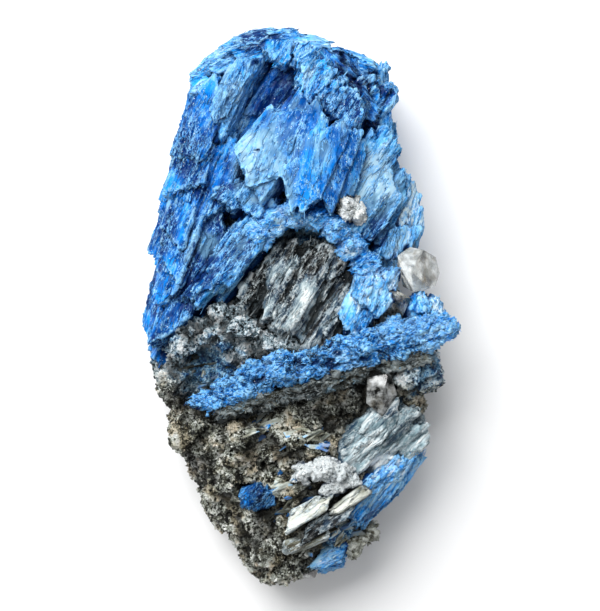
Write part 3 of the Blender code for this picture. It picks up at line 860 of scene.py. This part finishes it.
def schist_material(name, settings, bits=False):
    """Mica schist: dark and light grains with brown stain and painted glints, turning to kyanite towards
    the blue end, with painted shade in its hollows, gaps and shadowed spots, and pale crests that are
    partly painted highlight.
    """
    material, net = new_material(name)
    place = net.object_place()
    spot = net.in_cells(place, 0.45)
    level, dust, patch, bump = speckle(net, spot, bits)
    murk = net.noise(net.in_cells(place, 3.6), 5.0, 0.65)
    # Painted glints: small bright specks that lift the grains' level.
    glint_specks = net.cells(net.in_cells(net.wavy(place, 1.0, 0.5), 0.8), "Distance")
    pepper = net.cells(net.in_cells(net.wavy(place, 1.3, 0.8), 1.1), "Distance")
    level = level + (murk - 0.5) * 3.0 + (1 - glint_specks.over(0.16, 0.28)) * 0.55
    level = (level - (1 - pepper.over(0.18, 0.38)) * 0.65).over(0.0, 1.0)
    colour = net.ramp(level, TONES["schist"])
    stain = net.noise(net.scaled(spot, 0.13), 3.0).over(0.47, 0.62)
    colour = net.blend(stain * 0.65, colour, settings.brown_mica, "MULTIPLY")
    steel = net.ramp(level, TONES["steel"])
    north = net.dot(place, (0, 1 / MM, 0)) + (patch - 0.5) * 14 + (dust - 0.5) * 5
    colour = net.blend(north.over(-17.0, -12.0), colour, steel)
    azure = net.ramp(level.over(-0.25, 0.8), TONES["side"])
    blue = north.over(2.0, 9.0)
    wobble = (patch - 0.5) * 16 + (dust - 0.5) * 7
    blue = blue.larger(ragged_spots(net, place, BLUE_SPOTS, wobble))
    colour = net.blend(blue * (0.55 + level * 0.4), colour, azure)
    # Near-black for the painted shade.
    dark = linear(10, 10, 7)
    # Painted shade: near-black in the shadowed hollows of the schist.
    colour = net.blend(ragged_spots(net, place, PAINTED_SHADE_SPOTS, wobble) * (0.92 - level * 0.35), colour, dark)
    if not bits:
        # Pale crests: partly the dust's pale specks, partly painted highlight.
        edge = (attribute(net, "crest") * 0.5 + (dust - 0.5) * 2.0).over(0.45, 1.0)
        colour = net.blend(edge * 0.6, colour, linear(230, 236, 230))
        # Painted shade in the hollows.
        colour = net.blend(attribute(net, "hollow").over(0.45, 1.0) * 0.85, colour, dark)
    # Painted shade in gaps shut in by other solids.
    colour = net.blend(attribute(net, "shelter").over(0.5, 1.05) * 0.85, colour, dark)
    glint = level.over(0.8, 0.9)
    sockets = {
        "Base Color": colour,
        "Roughness": 0.5 - glint * 0.25 + (dust - 0.5) * 0.2,
        "Metallic": glint * 0.3,
        "IOR": SCHIST_IOR,
        "Specular IOR Level": 0.2,
        "Normal": bumped(net, bump, 1.0),
    }
    return ended(material, principled(net, sockets))


def quartz_material(name, tint, cloudiness, seed):
    """Glassy quartz, clear in depth, with milky veils and a brown stain."""
    material, net = new_material(name)
    place = net.object_place()
    spot = net.vector("ADD", net.in_cells(place, 2.2), (seed,) * 3)
    veil = net.noise(spot, 4.0, 0.6)
    stain = net.noise(net.scaled(spot, 0.6), 3.0).over(0.5, 0.66)
    sockets = {
        "Base Color": (*tint, 1),
        "Roughness": 0.06 + veil * 0.08,
        "IOR": QUARTZ_IOR,
        "Transmission Weight": 1.0,
        "Normal": bumped(net, veil, 0.1, 0.5),
    }
    clear = principled(net, sockets)
    milk = net.blend(stain, linear(244, 249, 249), linear(128, 118, 96))
    cloudy = principled(net, {"Base Color": milk, "Roughness": 0.2 + veil * 0.2, "IOR": QUARTZ_IOR})
    share = (veil + cloudiness - 0.5).over(0.25, 0.75)
    return ended(material, net.node("ShaderNodeMixShader", {}, {0: share, 1: clear, 2: cloudy}))


# ---------------------------------------------------------------- pieces


def length_setting(name, description, default, least, most):
    """A length that a user can change, given in mm."""
    return bpy.props.FloatProperty(
        name=name,
        description=description,
        default=default * MM,
        min=least * MM,
        max=most * MM,
        unit="LENGTH",
        subtype="DISTANCE",
    )


def colour_setting(name, description, *screen):
    """A colour that a user can change, given as a screen colour."""
    return bpy.props.FloatVectorProperty(
        name=name, description=description, subtype="COLOR", default=linear(*screen), min=0, max=1
    )


class SpecimenSettings(bpy.types.PropertyGroup):
    """Sizes and colours of the specimen's surface."""

    splinter_length: length_setting("Splinter length", "Usual length of the blades' splinters", 5.2, 1, 12)
    splinter_width: length_setting("Splinter width", "Usual width of the blades' splinters", 1.5, 0.4, 4)
    grain_size: length_setting("Grain size", "Usual size of the grains in feldspar and schist", 0.8, 0.3, 3)
    # Pale blue and frost also colour the rims, crests and brows, partly as painted highlight.
    pale_kyanite: colour_setting("Pale blue", "Colour of veils on the blue blades", 48, 152, 236)
    grey_kyanite: colour_setting("Grey blue", "Colour of the greyer clouds in the blades", 92, 134, 162)
    frost: colour_setting("Frost", "Colour of broken edges on the blue blades", 166, 220, 250)
    brown_mica: colour_setting("Brown stain", "Tint of the stained mica", 190, 164, 122)


def settings_of(context):
    return context.scene.kyanite_specimen


# Screen colours, 0 to 255.
NAVY, DEEP, AZURE = (0, 42, 104), (0, 82, 164), (0, 120, 214)
SKY, PALE, ICE = (24, 144, 236), (96, 184, 242), (186, 228, 252)
# Slate serves only as the colour of painted shade in hollows and gaps.
SLATE, STEEL = (36, 60, 80), (98, 130, 150)
# Both colours here serve only as painted shade in hollows and gaps.
SHADE_BLACK, ABYSS = (14, 16, 16), (0, 20, 66)
# The colours of each finish, from its darkest parts at 0 to its lightest at 1.
TONES = {
    "shield": {
        0.0: (0, 84, 166), 0.25: (0, 120, 216), 0.5: (30, 144, 224),
        0.8: (96, 174, 222), 1.0: (160, 212, 242),
    },
    "side": {0.0: NAVY, 0.3: (0, 88, 162), 0.6: (50, 134, 190), 0.85: (100, 182, 228), 1.0: ICE},
    "bundle": {0.0: (0, 42, 104), 0.3: (0, 76, 154), 0.55: (0, 104, 194), 0.8: (6, 130, 226), 1.0: SKY},
    "bright": {0.0: NAVY, 0.2: (0, 104, 190), 0.38: (0, 142, 232), 0.62: (56, 174, 246), 1.0: ICE},
    "azure": {0.0: (0, 18, 64), 0.35: (0, 58, 132), 0.65: (0, 98, 188), 0.9: (10, 130, 226), 1.0: PALE},
    "recess": {0.0: (0, 38, 100), 0.4: (0, 78, 164), 0.8: (4, 114, 212), 1.0: AZURE},
    "icy": {
        0.0: (0, 84, 164), 0.18: (0, 128, 218), 0.4: (60, 164, 238),
        0.65: (134, 204, 248), 1.0: (222, 244, 252),
    },
    "striped": {0.0: (0, 12, 40), 0.4: (0, 48, 116), 0.58: (0, 108, 200), 0.8: SKY, 1.0: ICE},
    "grey": {
        0.0: (6, 10, 14), 0.3: (36, 56, 76), 0.5: (92, 112, 124),
        0.72: (156, 172, 176), 1.0: (236, 242, 240),
    },
    "dark": {0.0: (10, 10, 6), 0.5: (48, 46, 36), 0.85: (108, 110, 100), 1.0: STEEL},
    "laminated": {
        0.0: (30, 56, 76), 0.3: (92, 116, 124), 0.55: (146, 170, 178),
        0.8: (206, 222, 226), 1.0: (248, 252, 250),
    },
    "lath": {0.0: (56, 52, 38), 0.3: (112, 112, 96), 0.6: (166, 170, 158), 1.0: (226, 228, 218)},
    "mixed": {0.0: NAVY, 0.25: (0, 96, 180), 0.45: SKY, 0.66: (170, 214, 240), 1.0: (246, 250, 252)},
    "pocket": {0.0: (0, 6, 22), 0.5: (0, 28, 70), 0.8: (0, 66, 138), 1.0: SKY},
    "small_blades": {
        0.0: (60, 58, 46), 0.25: (132, 134, 118), 0.5: (196, 202, 194), 0.64: (160, 204, 232),
        0.75: SKY, 0.9: (0, 104, 184), 1.0: DEEP,
    },
    "steel": {
        0.0: (14, 18, 20), 0.2: (84, 104, 114), 0.42: (142, 164, 174),
        0.65: (204, 220, 228), 1.0: (252, 254, 254),
    },
    "crust": {0.0: (0, 8, 30), 0.32: (0, 44, 104), 0.52: (0, 98, 184), 0.76: SKY, 1.0: ICE},
    "white": {0.0: (70, 74, 70), 0.2: (160, 170, 172), 0.4: (226, 234, 236), 1.0: (252, 254, 252)},
    "schist": {
        0.0: (6, 6, 4), 0.22: (66, 66, 54), 0.45: (136, 139, 126),
        0.68: (204, 210, 200), 1.0: (252, 254, 250),
    },
}
# Spots, each a middle and a size in mm: here, painted shade in the shadowed hollows of the schist, the
# shadowed band under the vein among them.
PAINTED_SHADE_SPOTS = (
    (4.0, -20.5, 4.5), (11.5, -19.0, 5.0), (-19.0, -32.0, 4.0), (-6.5, -43.0, 4.5),
    (-22.0, -18.0, 3.5), (-9.0, -30.0, 3.0),
)
# Where small blades lie on the schist, and which way they run.
SMALL_BLADE_SPOTS = (
    (2.0, -28.0, 5.0), (4.0, -38.0, 9.0), (8.0, -49.0, 7.0), (-7.0, -24.0, 3.0),
    (-17.0, -12.0, 4.0),
)
SMALL_BLADE_GRAIN = Grain(62)
# Blue in the schist, and deep, pale and dull on the blades.
BLUE_SPOTS = (
    (-17.6, -12.0, 6.5), (26.0, -12.0, 5.0), (-27.0, -2.0, 7.0), (9.0, -46.0, 5.0),
)
DEEP_SPOTS = (
    (-1.6, 37.0, 7.0), (8.6, 29.0, 4.5), (7.6, 22.0, 4.0), (-18.0, 41.0, 5.5),
    (-21.5, 32.0, 5.0), (-15.5, 22.5, 6.0), (-24.0, 4.5, 6.5), (-18.5, 8.5, 5.0),
    (-27.0, 15.0, 4.5), (2.5, 45.5, 4.0), (-9.5, 51.5, 4.0), (16.0, 16.0, 5.0),
    (-11.5, 11.5, 4.0), (16.5, -39.0, 6.0), (9.5, 41.0, 6.0), (-22.5, -6.0, 6.0),
    (-26.5, -9.0, 4.0), (-28.5, 3.0, 3.5),
)
PALE_SPOTS = (
    (-20.5, 48.0, 6.0), (-13.0, 46.0, 5.0), (3.0, 49.0, 6.0), (21.5, 22.0, 6.0),
    (24.0, 31.0, 5.0), (-25.0, 24.0, 3.0), (-9.0, 34.0, 4.0), (-28.0, -1.0, 4.0),
    (14.0, -34.5, 5.0), (26.5, -3.5, 7.0), (19.0, -2.0, 5.0),
)
DULL_SPOTS = (
    (-7.0, 27.5, 6.5), (-3.0, 22.0, 4.0), (16.5, 24.0, 5.5), (-12.5, 40.0, 4.0),
    (20.0, 12.0, 4.0), (-17.0, 12.0, 2.5),
)
# The pale end of the greyer clouds.
GREY_PALE = (160, 194, 214)

# Blade sprays: node, grain, chips grown on and slivers laid on per mm2, their size beside the usual,
# how frayed, height of a sheet in mm, tones, frost (which also scales painted highlight), greyness, colour
# of the painted shade in hollows and gaps.
SPRAYS = (
    ("shield_spray", Grain(0, 0, (11, 62)), 0.0, 0.28, 0.8, 0.3, 0.16, "shield", 0.8, 0.75, NAVY),
    ("side_shield_spray", Grain(34), 0.03, 0.39, 0.8, 0.5, 0.2, "side", 0.75, 0.6, NAVY),
    ("right_tip_spray", Grain(14), 0.04, 0.39, 0.8, 0.6, 0.2, "icy", 0.9, 0.1, NAVY),
    ("ridge_spray", Grain(30), 0.3, 0.66, 0.6, 1.0, 0.25, "bright", 0.9, 0.0, NAVY),
    ("scaly_spray", Grain(140), 0.3, 0.6, 0.55, 0.7, 0.3, "azure", 0.3, 0.0, ABYSS),
    ("left_limb_spray", Grain(26), 0.1, 0.44, 0.7, 0.7, 0.25, "shield", 0.8, 0.8, NAVY),
    ("recess_spray", Grain(34), 0.0, 0.0, 0.7, 0.3, 0.3, "recess", 0.3, 0.0, ABYSS),
    ("striated_spray", Grain(39), 0.05, 0.3, 0.9, 0.3, 0.35, "striped", 0.75, 0.0, ABYSS),
    ("right_edge_spray", Grain(12), 0.1, 0.44, 0.7, 0.7, 0.25, "icy", 0.85, 0.3, NAVY),
    ("crest_spray", Grain(0, 0, (0, 13), True), 0.1, 0.44, 0.7, 0.65, 0.3, "bright", 0.85, 0.1, NAVY),
    ("left_bundle", Grain(22), 0.01, 0.3, 0.9, 0.42, 0.22, "bundle", 0.75, 0.0, ABYSS),
    ("left_flank_spray", Grain(12), 0.02, 0.22, 1.0, 0.5, 0.3, "bundle", 0.75, 0.1, NAVY),
    ("right_flank_spray", Grain(-10), 0.02, 0.22, 1.0, 0.5, 0.3, "bundle", 0.75, 0.1, NAVY),
    ("mid_left_spray", Grain(38), 0.08, 0.44, 0.8, 0.6, 0.3, "side", 0.8, 0.7, NAVY),
    ("grey_fan", Grain(31, -3), 0.0, 0.4, 0.9, 0.38, 0.5, "grey", 0.5, 0.0, SHADE_BLACK),
    ("cleavage_block", Grain(24), 0.2, 0.55, 0.6, 0.7, 0.3, "icy", 0.8, 0.3, NAVY),
    ("bright_block", Grain(10), 0.15, 0.44, 0.5, 0.6, 0.2, "icy", 0.9, 0.0, NAVY),
    ("laminated_spray", Grain(46), 0.05, 0.5, 0.9, 0.4, 0.35, "laminated", 0.6, 0.0, SLATE),
    ("lower_blue_spray", Grain(38), 0.1, 0.5, 0.8, 0.5, 0.3, "mixed", 1.0, 0.5, NAVY),
    ("mica_ledge", Grain(74, stray=4.0, share=0.4), 0.5, 1.0, 0.45, 0.9, 0.5, "dark", 0.2, 0.0, SHADE_BLACK),
    ("foot_chip", Grain(60), 0.2, 0.8, 0.5, 0.7, 0.3, "mixed", 1.0, 0.4, NAVY),
)
# Single laths and crystals, in the same columns.
LATHS = (
    ("white_lath", Grain(56), 0.0, 0.5, 0.5, 0.4, 0.12, "lath", 0.8, 0.0, SHADE_BLACK),
    ("pale_lath", Grain(64), 0.0, 0.5, 0.5, 0.4, 0.12, "lath", 0.8, 0.0, SHADE_BLACK),
    ("brown_lath", Grain(54), 0.0, 0.5, 0.5, 0.4, 0.12, "lath", 0.3, 0.0, SHADE_BLACK),
    ("dark_lath", Grain(56), 0.0, 0.5, 0.5, 0.4, 0.12, "grey", 0.5, 0.0, SHADE_BLACK),
    ("pocket_crystal", Grain(40), 0.3, 0.5, 0.3, 0.6, 0.2, "pocket", 0.35, 0.0, ABYSS),
)
# Crumbly blue crusts, made of short blades, in the same columns.
CRUSTS = (
    ("blue_vein", Grain(73, stray=4.0, share=0.3), 0.6, 1.4, 0.42, 0.9, 0.4, "crust", 0.85, 0.5, ABYSS),
    ("crust_arch", Grain(60, stray=4.0, share=0.3), 0.5, 1.2, 0.42, 0.8, 0.3, "icy", 1.0, 0.0, DEEP),
)
# Feldspars: node, roughness, tones, colour of the corners, which is partly painted highlight on crests, and
# colour of the painted shade in hollows and gaps.
FELDSPARS = (
    ("upper_feldspar", 0.6, "white", (252, 254, 252), (60, 58, 48)),
    ("lower_feldspar", 0.7, "white", (240, 248, 252), (34, 66, 104)),
    ("foot_grains", 0.8, "lath", (236, 240, 234), (30, 28, 22)),
)


# The mesh size of each group's skin in mm, and the seed of its first piece.
SPRAY_MESH, LATH_MESH, CRUST_MESH, GRAIN_MESH, SCHIST_MESH = 0.28, 0.2, 0.26, 0.24, 0.44
SPRAY_SEED, LATH_SEED, CRUST_SEED, GRAIN_SEED, QUARTZ_SEED = 1, 41, 61, 81, 91
# How far apart in a noise the patterns of two blades, two grains and two quartz pieces are.
PATTERN_STEP, GRAIN_STEP, QUARTZ_STEP = 3.7, 2.3, 1.9
# The share of its triangles that a body keeps.
BODY_SHARE, SCHIST_SHARE = 0.6, 0.55


def dress_blades(rows, settings, voxel, first_seed):
    """Gives each blade node its ragged body, with the splinters that lie torn on it."""
    long, wide = settings.splinter_length / MM, settings.splinter_width / MM
    for number, row in enumerate(rows):
        node, grain, chips, slivers, scale, fray, step, tones, frost, grey, dark = row
        seed = first_seed + number
        pattern, tilt = seed * PATTERN_STEP, grain.stray * 0.15
        small = (wide * scale * 0.5, long * scale * 0.4, 0.4 * scale)
        large = (wide * scale * 1.4, long * scale * 1.2, 1.1 * scale)
        thin, stout = (0.18, 0.7, 0.08), (0.55, long * scale * 0.6, 0.26)

        def chip(net, shape):
            return scatter(
                net, shape, "splinter", chips, small, large, seed * 10, grain, 0.25 + tilt, lift=-0.1
            )

        def break_up(net, shape):
            shape = splintery(net, without_crumbs(net, shape), grain, fray, step, 1.0, pattern)
            return with_shelter(net, with_relief(net, shape))

        def tear(net, shape):
            torn = named(net, "frayed") + random_number(net, 9) * 0.4
            where = open_places(net, 0.85, 0.3) * (torn > 0.7)
            draw = seed * 10 + 5
            return scatter(
                net, shape, "splinter", slivers, thin, stout, draw, grain, 0.3 + tilt, 0.0, 0.25, where
            )

        obj = body_of(node, voxel, *([chip] if chips else []))
        reshape(obj, break_up)
        look = (node, grain, tones, frost, pattern, settings, grey, linear(*dark))
        if slivers:
            bits = bits_on(obj, node + "_splinters", tear)
            finish_piece(bits, splinter_material(node + "_splinters", *look), slot_of(node), smooth=False)
        apply_modifier(obj, "DECIMATE", ratio=BODY_SHARE)
        finish_piece(obj, kyanite_material(node + "_blades", *look), slot_of(node), node)


class SPECIMEN_OT_sprays(bpy.types.Operator):
    """Breaks the blade sprays into splinters and ragged laths"""

    bl_idname = "specimen.sprays"
    bl_label = "Blade sprays"

    def execute(self, context):
        dress_blades(SPRAYS, settings_of(context), SPRAY_MESH, SPRAY_SEED)
        return {"FINISHED"}


class SPECIMEN_OT_laths(bpy.types.Operator):
    """Finishes the single laths near the foot"""

    bl_idname = "specimen.laths"
    bl_label = "Single laths"

    def execute(self, context):
        dress_blades(LATHS, settings_of(context), LATH_MESH, LATH_SEED)
        return {"FINISHED"}


def dress_grains(rows, settings, first_seed):
    """Gives each crumbly node its rough body, with the grains that stick to it."""
    size = settings.grain_size / MM
    for number, (node, rough, tones, corners, painted_shade) in enumerate(rows):
        seed = first_seed + number

        def lumps(net, shape):
            small, large = (size * 1.2,) * 3, (size * 3.4, size * 2.6, size * 1.8)
            return scatter(net, shape, "grain", 0.14, small, large, seed * 10, Grain(60), 0.8)

        def crumble(net, shape):
            shape = granular(net, shape, 1.1, 0.6 * rough, seed * GRAIN_STEP)
            return with_shelter(net, with_relief(net, shape))

        def stick(net, shape):
            small, large = (size * 0.3,) * 3, (size * 1.1, size * 0.9, size * 0.6)
            draw = seed * 10 + 5
            where = open_places(net)
            return scatter(net, shape, "grain", 1.2, small, large, draw, Grain(60), 0.9, 0.0, 0.8, where)

        obj = body_of(node, GRAIN_MESH, lumps)
        reshape(obj, crumble)
        bits = bits_on(obj, node + "_grains", stick)
        apply_modifier(obj, "DECIMATE", ratio=BODY_SHARE)
        look = (tones, linear(*corners), linear(*painted_shade), 0.5, 0.3, seed * GRAIN_STEP)
        finish_piece(obj, grain_material(node + "_body", *look), slot_of(node), node)
        finish_piece(bits, grain_material(node + "_grains", *look, bits=True), slot_of(node), smooth=False)


class SPECIMEN_OT_crusts(bpy.types.Operator):
    """Crumbles the vein and the arch"""

    bl_idname = "specimen.crusts"
    bl_label = "Blue crusts"

    def execute(self, context):
        dress_blades(CRUSTS, settings_of(context), CRUST_MESH, CRUST_SEED)
        return {"FINISHED"}


class SPECIMEN_OT_feldspar(bpy.types.Operator):
    """Chips the white feldspar grains"""

    bl_idname = "specimen.feldspar"
    bl_label = "Feldspar"

    def execute(self, context):
        dress_grains(FELDSPARS, settings_of(context), GRAIN_SEED)
        return {"FINISHED"}


def lumpy_schist(net, shape):
    """Blocks with deep creases between them, and grains over those; the flat back stays as it is."""
    place = net.position()
    base = net.dot(place, (0, 0, 1 / MM)).over(0.3, 1.5)
    warped = net.wavy(place, 6.0, 3.5)
    crease = net.cells(net.in_cells(warped, 7.5), "Distance", "DISTANCE_TO_EDGE")
    block = net.facets(net.in_cells(warped, 7.5))[0]
    chunk = net.facets(net.in_cells(net.wavy(place, 3.0, 1.2), 2.6))[0]
    small, tone = net.facets(net.in_cells(place, 1.1))
    shape = store(net, shape, "tone", tone)
    height = crease.over(0.0, 0.1) * 1.5 - 1.3 + block * 1.8 + chunk * 0.7 + small * 0.3
    return pushed_out(net, shape, height * base)


class SPECIMEN_OT_schist(bpy.types.Operator):
    """Roughens the mica schist and covers it with grains, mica plates and small blades"""

    bl_idname = "specimen.schist"
    bl_label = "Mica schist"

    def execute(self, context):
        settings = settings_of(context)
        size = settings.grain_size / MM

        def roughen(net, shape):
            return with_shelter(net, with_relief(net, lumpy_schist(net, shape), 0.12, 0.9, 18))

        def height_above(net, level):
            return net.dot(net.position(), (0, 0, 1 / MM)) > level

        def grains(net, shape):
            where = open_places(net, 0.95, -0.4) * height_above(net, 1.0)
            small, large = (size * 0.25,) * 3, (size * 1.3, size * 1.1, size * 0.9)
            return scatter(net, shape, "grain", 1.35, small, large, 700, lift=0.0, lie=0.9, where=where)

        def plates(net, shape):
            where = open_places(net, 0.95, -0.4) * height_above(net, 1.0)
            small, large = (size * 0.4, size * 0.4, 0.5), (size * 1.5, size * 1.3, 1.4)
            return scatter(net, shape, "flake", 1.2, small, large, 720, lift=0.08, lie=0.9, where=where)

        def small_blades(net, shape):
            place = net.position()
            near = 0.0
            for x, y, reach in SMALL_BLADE_SPOTS:
                flat = net.vector("MULTIPLY", net.vector("SUBTRACT", place, (x * MM, y * MM, 0)), (1, 1, 0))
                near = near + (net.vector("LENGTH", flat, output="Value") < reach * MM)
            where = open_places(net, 0.9, 0.2) * (near > 0.5)
            small, large = (0.9, 1.2, 0.5), (2.4, 4.2, 1.2)
            return scatter(
                net, shape, "splinter", 0.22, small, large, 740, SMALL_BLADE_GRAIN, 0.7, 0.35, 0.5, where
            )

        obj = body_of("schist_rock", SCHIST_MESH)
        reshape(obj, roughen)
        loose = bits_on(obj, "schist_grains", grains)
        mica = bits_on(obj, "mica_plates", plates)
        blades = bits_on(obj, "small_blades", small_blades)
        apply_modifier(obj, "DECIMATE", ratio=SCHIST_SHARE)
        mass = schist_material("schist_mass", settings)
        finish_piece(obj, mass, "mica_schist", "schist_rock", smooth=False)
        for bits in (loose, mica):
            finish_piece(bits, schist_material(bits.name, settings, True), "mica_schist", smooth=False)
        look = ("schist_rock", SMALL_BLADE_GRAIN, "small_blades", 0.3, 74, settings, 0.0, linear(*SHADE_BLACK))
        finish_piece(blades, splinter_material("small_blades", *look), "mica_schist", smooth=False)
        return {"FINISHED"}


# Quartz pieces: node, tint, cloudiness.
QUARTZES = (
    ("quartz_crystal", (240, 242, 238), 0.42),
    ("smoky_quartz_grain", (196, 196, 186), 0.3),
    ("brown_quartz", (150, 152, 140), 0.36),
    ("foot_crystal", (176, 184, 180), 0.2),
)


class SPECIMEN_OT_quartz(bpy.types.Operator):
    """Bevels the quartz crystals and makes them glassy"""

    bl_idname = "specimen.quartz"
    bl_label = "Quartz"

    def execute(self, context):
        for seed, (node, tint, cloudiness) in enumerate(QUARTZES, QUARTZ_SEED):
            obj = copy_of_node(node, node + "_glass")
            apply_modifier(obj, "BEVEL", width=0.14 * MM, segments=2, limit_method="ANGLE", angle_limit=0.3)
            material = quartz_material(node + "_finish", linear(*tint), cloudiness, seed * QUARTZ_STEP)
            finish_piece(obj, material, slot_of(node), node)
            make_active(obj)
            bpy.ops.object.shade_smooth_by_angle(angle=0.35)
            deselect()
        return {"FINISHED"}


# The lamps point at this height above the origin, in metres.
MIDDLE = 0.018
# The view from above: its middle, half its long side and the height at which it is that long, in metres.
VIEW_X, VIEW_Y, HALF_VIEW, VIEW_HEIGHT = 0.0008, 0.0006, 0.0611, 0.02
# The camera's lens and half its sensor's width, in mm.
LENS, HALF_SENSOR = 100, 18
# Lights: name, place, size in metres, power.
LAMPS = (
    ("key", (-0.2, 0.36, 0.56), 0.5, 7.4),
    ("front", (-0.1, -0.1, 0.9), 0.6, 1.2),
    ("fill", (0.4, -0.3, 0.5), 0.6, 0.5),
)


class SPECIMEN_OT_stage(bpy.types.Operator):
    """Lays the floor and sets the lights and the camera"""

    bl_idname = "specimen.stage"
    bl_label = "Floor, lights and camera"

    def execute(self, context):
        deselect()
        bpy.ops.mesh.primitive_plane_add(size=3)
        floor = context.object
        floor.name = "floor"
        material, net = new_material("pale_floor")
        place = net.object_place()
        grain = net.noise(net.scaled(place, 40.0), 2.0)
        colour = net.blend(grain, (0.93,) * 3, (0.96,) * 3)
        shader = principled(net, {"Base Color": colour, "Roughness": 0.9})
        floor.data.materials.append(ended(material, shader))
        for name, place, size, power in LAMPS:
            bpy.ops.object.light_add(type="AREA", location=place)
            lamp = context.object
            lamp.name = name
            lamp.data.size = size
            lamp.data.energy = power
            lamp.rotation_mode = "QUATERNION"
            lamp.rotation_quaternion = (Vector((0, 0, MIDDLE)) - lamp.location).to_track_quat("-Z", "Y")
        world = bpy.data.worlds.new("studio")
        world.use_nodes = True
        sky = world.node_tree.nodes["Background"]
        sky.inputs["Color"].default_value = (0.95, 0.97, 1.0, 1)
        sky.inputs["Strength"].default_value = 0.2
        context.scene.world = world
        context.scene.view_settings.view_transform = "Standard"
        height = VIEW_HEIGHT + HALF_VIEW / (HALF_SENSOR / LENS)
        bpy.ops.object.camera_add(location=(VIEW_X, VIEW_Y, height))
        camera = context.object
        camera.name = "camera"
        camera.rotation_euler = (0, 0, 0)
        camera.data.lens = LENS
        camera.data.clip_start = 0.01
        context.scene.camera = camera
        deselect()
        return {"FINISHED"}


OPERATORS = (
    SPECIMEN_OT_sprays,
    SPECIMEN_OT_laths,
    SPECIMEN_OT_crusts,
    SPECIMEN_OT_feldspar,
    SPECIMEN_OT_schist,
    SPECIMEN_OT_quartz,
    SPECIMEN_OT_stage,
)


class SPECIMEN_PT_panel(bpy.types.Panel):
    """Lists the specimen's sizes, colours and pieces"""

    bl_idname = "SPECIMEN_PT_panel"
    bl_label = "Kyanite specimen"
    bl_space_type = "VIEW_3D"
    bl_region_type = "UI"
    bl_category = PANEL_TAB

    def draw(self, context):
        for name in SpecimenSettings.__annotations__:
            self.layout.prop(settings_of(context), name)
        for operator in OPERATORS:
            self.layout.operator(operator.bl_idname)


CLASSES = (SpecimenSettings, *OPERATORS, SPECIMEN_PT_panel)


def register():
    for item in CLASSES:
        bpy.utils.register_class(item)
    bpy.types.Scene.kyanite_specimen = bpy.props.PointerProperty(type=SpecimenSettings)


def unregister():
    del bpy.types.Scene.kyanite_specimen
    for item in reversed(CLASSES):
        bpy.utils.unregister_class(item)


def main():
    register()
    make_stock()
    bpy.ops.specimen.sprays()
    bpy.ops.specimen.laths()
    bpy.ops.specimen.crusts()
    bpy.ops.specimen.feldspar()
    bpy.ops.specimen.schist()
    bpy.ops.specimen.quartz()
    bpy.ops.specimen.stage()
    clear_stock()


if __name__ == "__main__":
    main()
